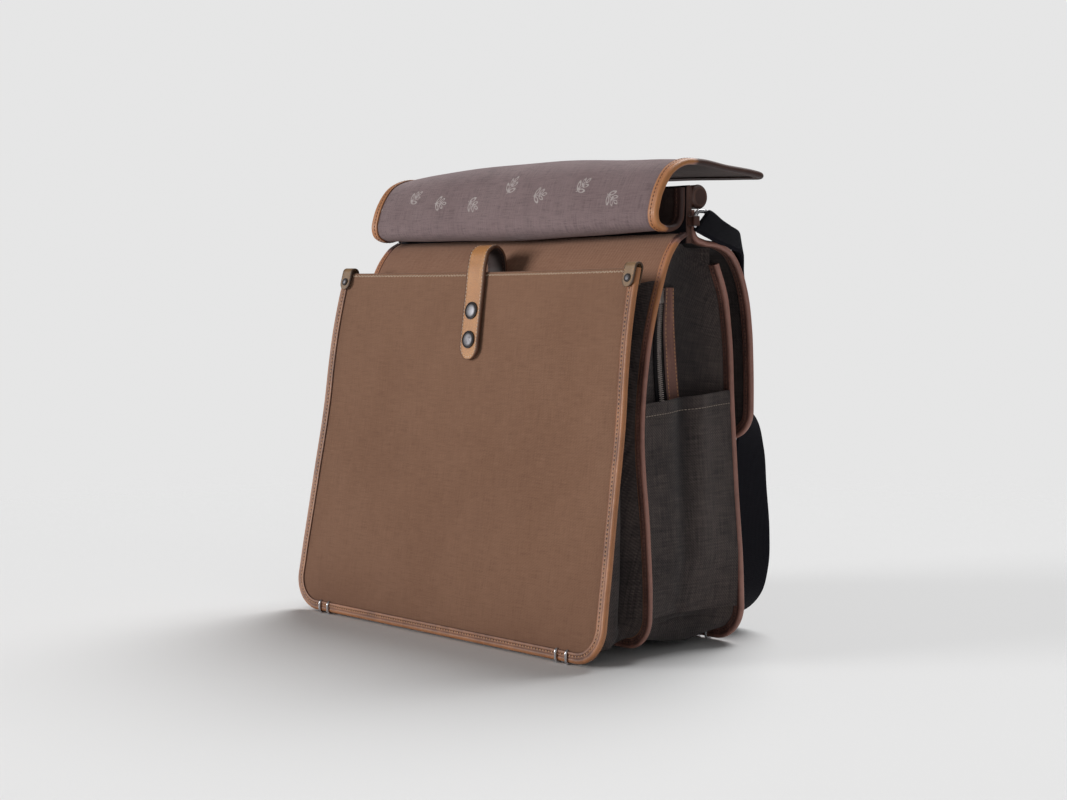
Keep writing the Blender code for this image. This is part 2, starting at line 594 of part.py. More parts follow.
def main():
    """Build every piece of the briefcase."""
    clear_scene()
    pocket = Wall(POCKET_ROWS, FOOT_HALF, POCKET_TOP_HALF, PANEL_CORNER, HEM_REAR_Z, above=5)
    back = Wall(BACK_ROWS, FOOT_HALF, PANEL_TOP_HALF, BACK_CORNER, HEM_REAR_Z, above=6)
    front = Wall(FRONT_ROWS, FOOT_HALF, PANEL_TOP_HALF, PANEL_CORNER, HEM_FRONT_Z, above=5)
    front_flap = Wall(FRONT_FLAP_ROWS, FLAP_HALF, FLAP_ROOT_HALF, FRONT_FLAP_CORNER, above=9)
    cover = Wall(COVER_ROWS, RIDGE_HALF, RIDGE_HALF, COVER_CORNER, above=16)
    make_panels(pocket, back, front)
    make_flaps(front_flap, cover)
    make_gussets(pocket, back, front)
    make_closing_strap()
    make_staples("pocket", pocket, -1.0)
    make_staples("front", front, 1.0)
    make_ridge()
    make_shoulder_strap()
    for end, side in (("right", 1.0), ("left", -1.0)):
        make_side(end, side, back, front)
        make_corner_tab(end, side, pocket)
        make_ring(end, side)
    print("shifted along Y by", round(centre_over_origin(), 5))


main()
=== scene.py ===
"""Dresses the briefcase: fine canvas, leather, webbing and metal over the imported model.

Shapes are worked out in millimetres in the design frame of the part's source: X across the
bag, Y from the rear slip pocket to the front flap, Z up from the floor. A wall is a bent sheet
that is level across X; a place on it is x, the length s from its free edge and the distance n
off its middle."""

import math

import bpy
import numpy as np
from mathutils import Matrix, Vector


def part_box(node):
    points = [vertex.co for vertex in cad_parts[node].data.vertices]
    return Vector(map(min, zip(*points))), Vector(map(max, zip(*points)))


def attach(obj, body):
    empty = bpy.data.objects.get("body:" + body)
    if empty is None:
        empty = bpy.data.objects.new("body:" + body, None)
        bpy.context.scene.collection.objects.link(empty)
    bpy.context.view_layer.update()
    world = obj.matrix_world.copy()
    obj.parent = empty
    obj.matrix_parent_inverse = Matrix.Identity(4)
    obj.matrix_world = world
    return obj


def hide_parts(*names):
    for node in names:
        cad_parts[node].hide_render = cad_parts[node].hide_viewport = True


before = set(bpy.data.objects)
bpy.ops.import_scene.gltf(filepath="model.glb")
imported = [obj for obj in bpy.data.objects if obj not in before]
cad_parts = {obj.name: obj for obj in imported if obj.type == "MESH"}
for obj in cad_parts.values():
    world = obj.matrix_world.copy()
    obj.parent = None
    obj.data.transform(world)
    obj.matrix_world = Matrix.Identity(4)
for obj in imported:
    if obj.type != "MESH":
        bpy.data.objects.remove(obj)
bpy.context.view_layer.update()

MM = 0.001
ROD_Y, ROD_Z, ROD_RADIUS = 116.3, 338.9, 9.2
ROD_LOW, ROD_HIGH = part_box("top_rod")
SHIFT_Y = (ROD_LOW.y + ROD_HIGH.y) / 2 / MM - ROD_Y

CANVAS, LINED_FLAP, GUSSET_CLOTH, STRAP_LEATHER, WEBBING, WEBBING_HALF = 2.4, 2.0, 1.5, 2.6, 2.0, 19.0
BINDING_HALF, EDGE_ROOM, REACH = 2.4, 1.5, 2.6
BACK_BINDING_HALF, BACK_BINDING_SHARE = 2.0, 0.82
FOOT_HALF, POCKET_TOP_HALF, PANEL_TOP_HALF = 186.0, 175.5, 172.0
FLAP_HALF, RIDGE_HALF, FLAP_ROOT_HALF = 172.8, 169.5, 168.3

# Profiles seen from the side, from the free edge up: y, z, bulge of the middle
POCKET_ROWS = [
    (0.0, 1.5, 0.0), (0.0, 9.0, 0.0), (4.5, 45.0, 0.8), (9.0, 72.0, 2.2), (17.0, 120.0, 5.0),
    (26.4, 177.0, 7.0), (29.5, 205.0, 7.5), (34.0, 236.0, 7.0), (40.9, 268.0, 5.0), (45.6, 285.0, 3.5),
]
BACK_ROWS = [
    (47.8, 7.5, 0.0), (47.8, 15.0, 0.0), (49.6, 50.0, 0.0), (49.1, 89.0, 0.0), (46.4, 170.0, 0.0),
    (50.7, 204.0, 0.0), (57.5, 235.0, 0.0), (68.3, 267.0, 0.0), (83.8, 298.5, 0.0),
    (91.0, 306.0, 0.0), (99.2, 310.6, 0.0),
]
FRONT_ROWS = [
    (150.0, 1.5, 0.0), (150.0, 9.0, 0.0), (150.6, 60.0, 1.0), (148.0, 118.0, 3.0),
    (146.3, 180.0, 4.0), (145.1, 242.0, 3.0), (142.0, 266.0, 1.0), (133.5, 289.0, 0.0),
]
FRONT_FLAP_ROWS = [
    (173.2, 154.0, 0.0), (174.2, 172.0, 0.0), (174.7, 215.0, 0.0), (173.6, 240.0, 0.0),
    (168.8, 268.4, 0.0), (162.3, 284.6, 0.0), (151.5, 297.8, 0.0), (137.5, 303.4, 1.0),
    (122.0, 305.2, 1.0), (113.2, 308.6, 0.0), (110.1, 315.0, 0.0), (110.1, 329.0, 0.0),
]
COVER_ROWS = [
    (196.0, 357.0, 4.5), (182.0, 359.2, 4.5), (147.0, 362.0, 5.0), (118.0, 364.6, 7.0),
    (101.0, 363.4, 7.5), (87.4, 357.0, 6.0), (77.6, 345.5, 3.0), (71.6, 332.0, 1.5),
    (70.0, 324.0, 1.5), (71.8, 318.2, 2.5), (77.5, 315.0, 3.5), (85.7, 314.5, 2.5),
    (92.6, 316.8, 0.0), (96.9, 322.0, 0.0), (97.9, 330.0, 0.0), (97.9, 345.0, 0.0),
]
STRAP_ROWS = [
    (34.9, 215.0, 0.0), (37.1, 232.0, 0.0), (40.8, 255.0, 0.0), (44.0, 275.0, 0.0),
    (46.6, 291.0, 0.0), (51.0, 301.4, 0.0), (57.5, 304.4, 0.0), (64.0, 300.6, 0.0),
    (67.4, 290.5, 0.0), (66.8, 278.0, 0.0), (62.9, 262.5, 0.0), (58.1, 248.0, 0.0),
]
PANEL_CORNER, BACK_CORNER, FRONT_FLAP_CORNER, COVER_CORNER = 28.0, 23.0, 22.0, 12.0
STRAP_HALF, STRAP_SEAM = 11.0, 8.7
SNAP_FROM_END = {"snap_upper": 39.0, "snap_lower": 16.0}
POCKET_GUSSET_INSET, POCKET_GUSSET_FOLD = 7.8, 15.0
BODY_GUSSET_INSET, BODY_GUSSET_FOLD = 7.8, 8.0
SIDE_DEPTH = 4.4
HEM_REAR_Z, HEM_FRONT_Z, SIDE_POCKET_SLOPE, SIDE_POCKET_INSET = 187.0, 194.0, 40.0, 1.6
ZIP_SPAN, ZIP_ROWS = (187.0, 272.0), 120
TAPE_LIFT, ZIP_STRIP_LIFT, TEETH_LIFT = 1.5, 2.1, 1.6
ZIP_SHARES = ((0.25, 0.37), (0.05, 0.19))
ZIP_STRIP_SHARES = ((0.39, 0.54), (0.21, 0.39))
RIDGE_BACK_Y, RIDGE_FRONT_Y, RIDGE_FOOT_Z, RIDGE_TOP_Z = 101.2, 106.8, 304.0, 347.0
RIDGE_ROUND, RIDGE_THICK_HALF = 2.6, 2.75
RING_WIRE_RADIUS, RING_HALF_DEPTH, RING_HALF_HEIGHT, RING_CORNER = 1.6, 7.3, 7.6, 5.4
RING_Y, RING_Z, RING_X = 113.6, 320.4, 173.1
RING_LOOP_LEATHER, RING_LOOP_HALF = 1.5, 3.8
STAPLE_X = (138.5, 149.5)
TAB_X, TAB_HALF, TAB_LEATHER, TAB_FRONT, TAB_REAR = 168.6, 6.2, 1.6, 15.0, 12.0
TAB_SEAM, RIVET_FROM_TOP, WIRE_RADIUS = 4.7, 8.8, 1.1

# Right half of the shoulder strap: x, y, z, half width, direction of the width
SHOULDER_ROWS = [
    (175.3, 111.8, 321.0, 11.5, 0.0, 0.72, 0.69), (172.5, 126.0, 317.0, 10.5, -0.1, 0.4, 0.9),
    (167.5, 142.0, 313.0, 10.0, -0.12, 0.1, 0.99), (162.5, 159.0, 309.5, 9.5, -0.15, 0.0, 0.98),
    (158.0, 173.0, 306.0, 9.0, -0.25, 0.1, 0.95), (152.0, 180.5, 299.5, 9.0, -0.6, 0.3, 0.7),
    (146.0, 182.3, 290.0, 11.0, -0.95, 0.2, 0.2), (142.0, 182.0, 278.0, 15.0, -1.0, 0.05, 0.05),
    (140.5, 181.5, 262.0, 19.0, -1.0, 0.0, 0.0),
    (142.0, 179.8, 245.0, 19.0, -1.0, 0.0, 0.0), (144.0, 181.5, 215.0, 19.0, -1.0, 0.0, 0.0),
    (147.5, 186.0, 190.0, 19.0, -0.9, 0.43, 0.0), (151.5, 192.3, 168.0, 19.0, -0.35, 0.94, 0.0),
    (154.0, 192.4, 146.0, 19.0, -0.12, 0.99, 0.0), (156.5, 191.8, 114.0, 19.0, -0.05, 1.0, 0.0),
    (158.5, 192.2, 80.0, 19.0, 0.0, 1.0, 0.0), (158.0, 191.8, 52.0, 19.0, 0.0, 1.0, 0.0),
    (152.0, 190.6, 30.0, 19.0, 0.0, 1.0, 0.0), (139.0, 189.6, 16.5, 19.0, 0.0, 1.0, 0.0),
    (118.0, 188.9, 9.0, 19.0, 0.0, 1.0, 0.0), (90.0, 188.6, 4.5, 19.0, 0.0, 1.0, 0.0),
    (50.0, 188.5, 1.6, 19.0, 0.0, 1.0, 0.0),
]

STITCH_PITCH, STITCH_DEPTH, BINDING_INSIDE = 3.1, 5.6, 6
ZIGZAG_PITCH, ZIGZAG_SLANT, ZIGZAG_FROM_TOP, ZIGZAG_END = 3.8, 1.1, 2.6, 164.0
# Where painted light starts up the back binding, how far its painted shade under the roll reaches, and the
# cover binding's painted lit stretch on its roll.
BRIGHT_FROM, DARK_FROM_TOP, ROLL_FROM, ROLL_TO = 205.0, 16.0, 80.0, 167.0
RISE_ROWS, SIDES_RISE_TO = 14, 302.0
LATTICE, SPRIG_DROP, SPRIG_SIZE = 0.8, 0.052, 0.0128

# Leaves of a sprig: place of the middle beside and along the stem, lean, half width and half length
LEAVES = (
    ((0.25, -0.14), 0.85, (0.11, 0.25)),
    ((0.19, 0.24), 0.6, (0.09, 0.2)),
    ((0.0, 0.52), 0.0, (0.09, 0.17)),
)

# Domed snap and rivet: distance out from the leather, radius, and tone
SNAP_CAP = (
    (0.0, 5.0, -1), (0.1, 6.6, -1), (0.45, 7.0, -1), (0.9, 6.95, -0.9), (1.2, 6.6, -0.7), (1.25, 6.15, -1),
    (0.8, 5.85, -1), (0.8, 5.6, -0.9), (1.15, 5.2, -0.35), (1.4, 4.5, -0.1), (1.58, 3.6, 0), (1.7, 2.4, 0),
    (1.76, 1.1, 0), (1.78, 0.15, 0),
)
RIVET_HEAD = (
    (0.0, 2.4, -1), (0.1, 3.0, -1), (0.4, 3.2, -1), (0.75, 3.1, -0.7), (0.9, 2.6, -1), (0.85, 2.2, -1),
    (1.1, 1.6, -0.3), (1.2, 0.9, 0), (1.22, 0.1, 0),
)

# Suns: name, direction from the bag, width in degrees, strength
SUNS = (
    ("above", (-0.18, 0.7, 1.0), 40.0, 2.78),
    ("key", (-0.5, -0.82, 0.16), 26.0, 2.15),
    ("fill", (1.0, -0.3, 0.06), 60.0, 0.4),
)
BACKDROP, SURROUND = 0.79, 0.15
FLOOR_REACH, FLOOR_SOLID_TO, FLOOR_CLEAR_FROM = 1.6, 0.45, 1.5
FLOOR_DULL, FLOOR_PALE = (0.79, 0.79, 0.79), (0.8, 0.8, 0.8)

CAMERA_PLACE = (1.0747, -0.88988, 0.25939)
CAMERA_DOWN, CAMERA_TURN = 3.0675, 47.259
LENS_PIXELS, PHOTO_WIDTH, SENSOR = 1800, 1067, 36.0


# Shader tools and finishes


class Board:
    """Adds nodes to one tree. A value given for a socket is a number, a colour or another socket."""

    def __init__(self, tree):
        self.tree = tree

    def add(self, kind, values=(), **settings):
        made = self.tree.nodes.new("ShaderNode" + kind)
        for key, value in settings.items():
            setattr(made, key, value)
        for socket, value in dict(values).items():
            self.feed(made.inputs[socket], value)
        return made

    def feed(self, socket, value):
        if isinstance(value, bpy.types.NodeSocket):
            self.tree.links.new(value, socket)
        elif hasattr(value, "__len__") and socket.type == "RGBA":
            socket.default_value = (*value, 1.0)
        else:
            socket.default_value = value

    def math(self, operation, *values, clamp=False):
        made = self.add("Math", dict(enumerate(values)), operation=operation, use_clamp=clamp)
        return made.outputs[0]

    def aim(self, operation, *values):
        return self.add("VectorMath", dict(enumerate(values)), operation=operation).outputs["Vector"]

    def mix(self, share, first, second, blend="MIX"):
        made = self.add("Mix", data_type="RGBA", blend_type=blend)
        for socket, value in zip((made.inputs[0], made.inputs[6], made.inputs[7]), (share, first, second)):
            self.feed(socket, value)
        return made.outputs[2]

    def ramp(self, value, low, high, start=0.0, end=1.0):
        limits = {0: value, 1: low, 2: high, 3: start, 4: end}
        return self.add("MapRange", limits, interpolation_type="SMOOTHSTEP").outputs[0]

    def noise(self, place, scale, detail=3.0, rough=0.55, lift=0.0):
        made = self.add("TexNoise", {"Vector": place, "Scale": scale, "Detail": detail, "Roughness": rough,
                                     "Distortion": lift})
        return made.outputs["Fac"]


def group(name, takes, gives):
    """Start a node group with the named inputs and outputs: its board, its inputs, its outputs."""
    tree = bpy.data.node_groups.new(name, "ShaderNodeTree")
    for label, kind in takes:
        tree.interface.new_socket(label, in_out="INPUT", socket_type="NodeSocket" + kind)
    for label, kind in gives:
        tree.interface.new_socket(label, in_out="OUTPUT", socket_type="NodeSocket" + kind)
    board = Board(tree)
    start = tree.nodes.new("NodeGroupInput")
    end = tree.nodes.new("NodeGroupOutput")
    return board, start.outputs, end.inputs


def make_weave():
    """Plain weave: each yarn is a rounded ridge that dips under every second crossing yarn. Slubs are
    noise drawn out along each yarn direction, so single yarns come out thicker and paler."""
    board, take, give = group("plain weave", [("Place", "Vector"), ("Yarn", "Float")],
                              [("Height", "Float"), ("Shade", "Float"), ("Slubs", "Float")])
    apart = board.add("SeparateXYZ", {0: take["Place"]})
    heights = []
    for this, other, lag in ((0, 1, 0.0), (1, 0, 1.0)):
        along = board.math("DIVIDE", apart.outputs[this], take["Yarn"])
        cross = board.math("DIVIDE", apart.outputs[other], take["Yarn"])
        ridge = board.math("ABSOLUTE", board.math("SINE", board.math("MULTIPLY", along, math.pi)))
        turn = board.math("ADD", board.math("ADD", cross, board.math("FLOOR", along)), lag)
        dip = board.math("COSINE", board.math("MULTIPLY", turn, math.pi))
        dip = board.math("MULTIPLY_ADD", dip, 0.4, 0.6)
        heights.append(board.math("MULTIPLY", ridge, dip))
    top = board.math("MAXIMUM", *heights)
    board.feed(give["Height"], top)
    board.feed(give["Shade"], board.ramp(top, 0.1, 0.85))
    count = board.math("DIVIDE", 0.8, take["Yarn"])
    drawn = [board.noise(board.aim("MULTIPLY", take["Place"], way), count, 2.0, 0.6)
             for way in ((1.0, 0.06, 1.0), (0.06, 1.0, 1.0))]
    board.feed(give["Slubs"], board.math("MULTIPLY", board.math("ADD", *drawn), 0.5))
    return board.tree


def make_mottle():
    """Uneven colour: wide soft patches, and small specks from fibres and dust."""
    board, take, give = group("mottle", [("Place", "Vector"), ("Size", "Float")],
                              [("Patches", "Float"), ("Specks", "Float"), ("Streaks", "Float")])
    scale = board.math("DIVIDE", 1.0, take["Size"])
    board.feed(give["Patches"], board.noise(take["Place"], scale, 5.0, 0.6, 0.4))
    fine = board.math("MULTIPLY", scale, 38.0)
    board.feed(give["Specks"], board.noise(take["Place"], fine, 2.0, 0.6))
    long = board.aim("MULTIPLY", take["Place"], (1.0, 1.0, 0.12))
    board.feed(give["Streaks"], board.noise(long, board.math("MULTIPLY", scale, 5.0), 3.0, 0.6))
    return board.tree


def make_grain():
    """Leather grain: small rounded cells with creases between them, and finer pores."""
    board, take, give = group("leather grain", [("Place", "Vector"), ("Cell", "Float")],
                              [("Height", "Float"), ("Creases", "Float")])
    scale = board.math("DIVIDE", 1.0, take["Cell"])
    bent = board.aim("ADD", take["Place"], board.aim(
        "MULTIPLY", board.add("TexNoise", {"Vector": take["Place"], "Scale": scale}).outputs["Color"],
        (0.0006, 0.0006, 0.0006)))
    cells = board.add("TexVoronoi", {"Vector": bent, "Scale": scale}, feature="DISTANCE_TO_EDGE")
    edge = board.ramp(cells.outputs["Distance"], 0.0, 0.25)
    pores = board.noise(take["Place"], board.math("MULTIPLY", scale, 3.0), 2.0)
    board.feed(give["Height"], board.math("MULTIPLY_ADD", pores, 0.35, edge))
    board.feed(give["Creases"], board.math("SUBTRACT", 1.0, edge))
    return board.tree


def make_wear_and_light():
    """Handling and painted light: the piece's own tone, towards 1 for rubbing and painted light, towards -1
    for dye, soiling and painted shade, broken by noise."""
    board, take, give = group("handling and painted light", [("Tone", "Float"), ("Place", "Vector")],
                              [("Rubbed and lit", "Float"), ("Soiled and shaded", "Float")])
    rough = board.noise(take["Place"], 170.0, 4.0, 0.65)
    shake = board.math("MULTIPLY_ADD", rough, 1.1, -0.55)
    tone = board.math("MULTIPLY_ADD", shake, board.math("ABSOLUTE", take["Tone"]), take["Tone"])
    board.feed(give["Rubbed and lit"], board.math("MAXIMUM", tone, 0.0, clamp=True))
    board.feed(give["Soiled and shaded"], board.math("MULTIPLY", board.math("MINIMUM", tone, 0.0), -1.0, clamp=True))
    return board.tree


def leaf_outline(board, side, along, place, lean, leaf):
    """A line where the leaning ellipse about a place is 1: its two shares, raised and added."""
    dx = board.math("SUBTRACT", side, place[0])
    dy = board.math("SUBTRACT", along, place[1])
    wide = board.math("MULTIPLY_ADD", dx, math.cos(lean), board.math("MULTIPLY", dy, -math.sin(lean)))
    tall = board.math("MULTIPLY_ADD", dx, math.sin(lean), board.math("MULTIPLY", dy, math.cos(lean)))
    shares = [board.math("POWER", board.math("ABSOLUTE", board.math("DIVIDE", value, size)), power)
              for value, size, power in ((wide, leaf[0], 2.0), (tall, leaf[1], 1.7))]
    off = board.math("ABSOLUTE", board.math("SUBTRACT", board.math("ADD", *shares), 1.0))
    return board.ramp(off, 0.7, 0.4)


def make_sprigs():
    """Scattered sprigs: on a half-drop lattice, a turned stem with two pairs of leaves and a bud in
    outline. A leaf is the outline of an ellipse, the stem a short line; both sides come from the
    mirrored x."""
    takes = [("Place", "Vector"), ("Drop", "Float"), ("Size", "Float")]
    board, take, give = group("scattered sprigs", takes, [("Lines", "Float")])
    apart = board.add("SeparateXYZ", {0: take["Place"]})
    step = board.math("MULTIPLY", take["Drop"], LATTICE)
    across = board.math("DIVIDE", apart.outputs[0], take["Drop"])
    column = board.math("FLOOR", across)
    half = board.math("MULTIPLY", board.math("MODULO", board.math("ABSOLUTE", column), 2.0), 0.5)
    up = board.math("ADD", board.math("DIVIDE", apart.outputs[1], step), half)
    row = board.math("FLOOR", up)
    cell = board.add("CombineXYZ", {0: column, 1: row}).outputs[0]
    random = board.add("TexWhiteNoise", {"Vector": cell}, noise_dimensions="2D")
    shake = board.add("SeparateColor", {0: random.outputs["Color"]})
    shift = [board.math("MULTIPLY_ADD", shake.outputs[k], 0.36, 0.32) for k in (0, 1)]
    x = board.math("SUBTRACT", board.math("SUBTRACT", across, column), shift[0])
    y = board.math("SUBTRACT", board.math("SUBTRACT", up, row), shift[1])
    x = board.math("DIVIDE", board.math("MULTIPLY", x, take["Drop"]), take["Size"])
    y = board.math("DIVIDE", board.math("MULTIPLY", y, step), take["Size"])
    spot = board.add("CombineXYZ", {0: x, 1: y}).outputs[0]
    angle = board.math("MULTIPLY_ADD", random.outputs["Value"], 2.4, -1.2)
    turned = board.add("VectorRotate", {"Vector": spot, "Angle": angle}, rotation_type="Z_AXIS").outputs[0]
    flat = board.add("SeparateXYZ", {0: turned})
    side, along = board.math("ABSOLUTE", flat.outputs[0]), flat.outputs[1]
    mask = leaf_outline(board, side, along, *LEAVES[0])
    for leaf in LEAVES[1:]:
        mask = board.math("MAXIMUM", mask, leaf_outline(board, side, along, *leaf))
    ends = board.ramp(board.math("ABSOLUTE", board.math("ADD", along, 0.05)), 0.46, 0.42)
    stem = board.math("MULTIPLY", board.ramp(side, 0.032, 0.014), ends)
    board.feed(give["Lines"], board.math("MAXIMUM", mask, stem))
    return board.tree


WEAVE, MOTTLE, GRAIN, WEAR_AND_LIGHT, SPRIGS = make_weave(), make_mottle(), make_grain(), make_wear_and_light(), make_sprigs()


def start_material(name, **constants):
    """A material with its board, its shader and the places that its patterns read: object, UV and tone."""
    made = bpy.data.materials.new(name)
    made.use_nodes = True
    board = Board(made.node_tree)
    shader = made.node_tree.nodes["Principled BSDF"]
    for socket, value in constants.items():
        board.feed(shader.inputs[socket.replace("_", " ")], value)
    spot = board.add("TexCoord").outputs["Object"]
    flat = board.add("UVMap", uv_map="UVMap").outputs[0]
    tone = board.add("Attribute", attribute_name="tone").outputs["Fac"]
    return made, board, shader, spot, flat, tone


def use(board, tree, **values):
    """Place a node group with its own values."""
    made = board.add("Group")
    made.node_tree = tree
    for socket, value in values.items():
        board.feed(made.inputs[socket], value)
    return made.outputs


def bump(board, shader, height, strength, distance):
    """Fine relief from a height."""
    made = board.add("Bump", {"Height": height, "Strength": strength, "Distance": distance})
    board.feed(shader.inputs["Normal"], made.outputs[0])


def cloth(name, base, light, dark, yarn=0.0008, patch=0.09, print_colour=None, rough=0.88, sheen=0.1,
          contrast=0.35, raise_by=0.0002, blotch=0.45, slub=0.6):
    """Woven cloth: mottled colour, yarns with painted shade in their gaps, faded where it is rubbed, and
    paler or darker where its tone paints light and shade.
    """
    made, board, shader, spot, flat, tone = start_material(
        name, Sheen_Weight=sheen, Sheen_Roughness=0.5, Specular_IOR_Level=0.25)
    weave = use(board, WEAVE, Place=flat, Yarn=yarn)
    mottle = use(board, MOTTLE, Place=spot, Size=patch)
    wear_and_light = use(board, WEAR_AND_LIGHT, Tone=tone, Place=spot)
    colour = board.mix(board.ramp(mottle["Patches"], 0.3, 0.75, 0.0, blotch), base, light)
    colour = board.mix(board.ramp(mottle["Streaks"], 0.45, 0.85, 0.0, blotch * 0.4), colour, dark)
    colour = board.mix(board.ramp(mottle["Specks"], 0.56, 0.75, 0.0, contrast), colour, light)
    colour = board.mix(board.ramp(weave["Slubs"], 0.5, 0.66, 0.0, slub), colour, light)
    colour = board.mix(board.ramp(weave["Slubs"], 0.5, 0.36, 0.0, slub), colour, dark)
    if print_colour:
        lines = use(board, SPRIGS, Place=flat, Drop=SPRIG_DROP, Size=SPRIG_SIZE)
        worn = board.math("MULTIPLY", lines["Lines"], board.ramp(mottle["Specks"], 0.2, 0.62, 0.25, 0.85))
        colour = board.mix(worn, colour, print_colour)
    gaps = board.math("MULTIPLY_ADD", weave["Shade"], 0.4, 0.66)
    shade = board.add("CombineColor", {0: gaps, 1: gaps, 2: gaps}).outputs[0]
    colour = board.mix(1.0, colour, shade, "MULTIPLY")
    colour = board.mix(board.math("MULTIPLY", wear_and_light["Rubbed and lit"], 0.6), colour, light)
    colour = board.mix(board.math("MULTIPLY", wear_and_light["Soiled and shaded"], 0.75), colour, dark)
    board.feed(shader.inputs["Base Color"], colour)
    board.feed(shader.inputs["Roughness"], board.math("MULTIPLY_ADD", mottle["Specks"], 0.12, rough - 0.06))
    height = board.math("MULTIPLY_ADD", mottle["Specks"], 0.7, weave["Height"])
    bump(board, shader, height, 0.75, raise_by)
    return made


def leather(name, base, light, dark, cell=0.0011, rough=0.46, coat=0.12, painted_lighting=None, blotch=0.6):
    """Full-grain leather: grained, mottled, pale where it is rubbed and dark at its dyed cut edges; its tone
    also paints light and shade. Where the tone goes past 1.2 it takes the painted lit colour."""
    made, board, shader, spot, _, tone = start_material(
        name, Coat_Weight=coat, Coat_Roughness=0.35, Specular_IOR_Level=0.5)
    grain = use(board, GRAIN, Place=spot, Cell=cell)
    mottle = use(board, MOTTLE, Place=spot, Size=0.03)
    wear_and_light = use(board, WEAR_AND_LIGHT, Tone=tone, Place=spot)
    colour = board.mix(board.ramp(mottle["Patches"], 0.3, 0.7, 0.0, blotch), base, dark)
    colour = board.mix(board.ramp(mottle["Streaks"], 0.45, 0.75, 0.0, 0.5), colour, light)
    colour = board.mix(board.math("MULTIPLY", grain["Creases"], 0.35), colour, dark)
    colour = board.mix(board.math("MULTIPLY", wear_and_light["Rubbed and lit"], 0.75), colour, light)
    colour = board.mix(board.math("MULTIPLY", wear_and_light["Soiled and shaded"], 0.9), colour, dark)
    if painted_lighting:
        colour = board.mix(board.ramp(tone, 1.2, 2.2, 0.0, 0.9), colour, painted_lighting)
    board.feed(shader.inputs["Base Color"], colour)
    gloss = board.math("MULTIPLY_ADD", mottle["Patches"], 0.22, rough - 0.11)
    board.feed(shader.inputs["Roughness"], board.math("MULTIPLY_ADD", wear_and_light["Soiled and shaded"], 0.25, gloss))
    bump(board, shader, grain["Height"], 0.5, 0.00013)
    return made


def yarn_finish(name, base, light):
    """Waxed sewing thread: fine twisted plies along its own length."""
    made, board, shader, spot, flat, _ = start_material(name, Specular_IOR_Level=0.4, Roughness=0.6)
    plies = {"Vector": flat, "Scale": 900.0, "Distortion": 0.4}
    twist = board.add("TexWave", plies, bands_direction="DIAGONAL").outputs["Fac"]
    # The crests of the plies are painted lighter: painted highlight.
    colour = board.mix(twist, base, light)
    board.feed(shader.inputs["Base Color"], board.mix(board.noise(spot, 60.0), colour, base))
    bump(board, shader, twist, 0.4, 0.00008)
    return made


def web_finish(name, base, light, rib=0.0016):
    """Nylon webbing: thick ribs along it, each a chain of slanted yarns."""
    made, board, shader, spot, flat, tone = start_material(name, Specular_IOR_Level=0.12)
    apart = board.add("SeparateXYZ", {0: flat})
    across = board.math("DIVIDE", apart.outputs[1], rib)
    along = board.math("DIVIDE", apart.outputs[0], rib * 0.85)
    ridge = board.math("ABSOLUTE", board.math("SINE", board.math("MULTIPLY", across, math.pi)))
    lean = board.math("PINGPONG", across, 1.0)
    chain = board.math("SINE", board.math("MULTIPLY", board.math("ADD", along, lean), 2 * math.pi))
    height = board.math("MULTIPLY", ridge, board.math("MULTIPLY_ADD", chain, 0.3, 0.7))
    mottle = use(board, MOTTLE, Place=spot, Size=0.05)
    # The ribs' tops are painted lighter than the valleys between them: painted light and shade.
    colour = board.mix(board.ramp(height, 0.2, 1.0), base, light)
    colour = board.mix(board.ramp(mottle["Specks"], 0.5, 0.8, 0.0, 0.4), colour, light)
    wear_and_light = use(board, WEAR_AND_LIGHT, Tone=tone, Place=spot)
    colour = board.mix(board.math("MULTIPLY", wear_and_light["Rubbed and lit"], 0.5), colour, light)
    board.feed(shader.inputs["Base Color"], colour)
    board.feed(shader.inputs["Roughness"], board.math("MULTIPLY_ADD", mottle["Specks"], 0.2, 0.7))
    bump(board, shader, height, 0.8, 0.0005)
    return made


def metal(name, base, tarnish, rough=0.32, share=0.45):
    """Plated metal: brushed and cloudy, tarnished where its tone says and in scattered patches."""
    made, board, shader, spot, _, tone = start_material(name)
    mottle = use(board, MOTTLE, Place=spot, Size=0.008)
    wear_and_light = use(board, WEAR_AND_LIGHT, Tone=tone, Place=spot)
    clouds = board.ramp(mottle["Patches"], 0.5, 0.8, 0.0, share)
    dull = board.math("MAXIMUM", wear_and_light["Soiled and shaded"], clouds, clamp=True)
    board.feed(shader.inputs["Base Color"], board.mix(dull, base, tarnish))
    board.feed(shader.inputs["Metallic"], board.math("MULTIPLY_ADD", dull, -0.35, 1.0))
    board.feed(shader.inputs["Roughness"], board.math("MULTIPLY_ADD", dull, 0.3, rough))
    bump(board, shader, mottle["Specks"], 0.12, 0.0001)
    return made


# Finishes: the main colour, the light and the dark one, then what differs from the usual
BROWN_CANVAS = cloth("brown canvas", (0.228, 0.114, 0.066), (0.3, 0.162, 0.1), (0.16, 0.075, 0.044),
                     slub=0.45)
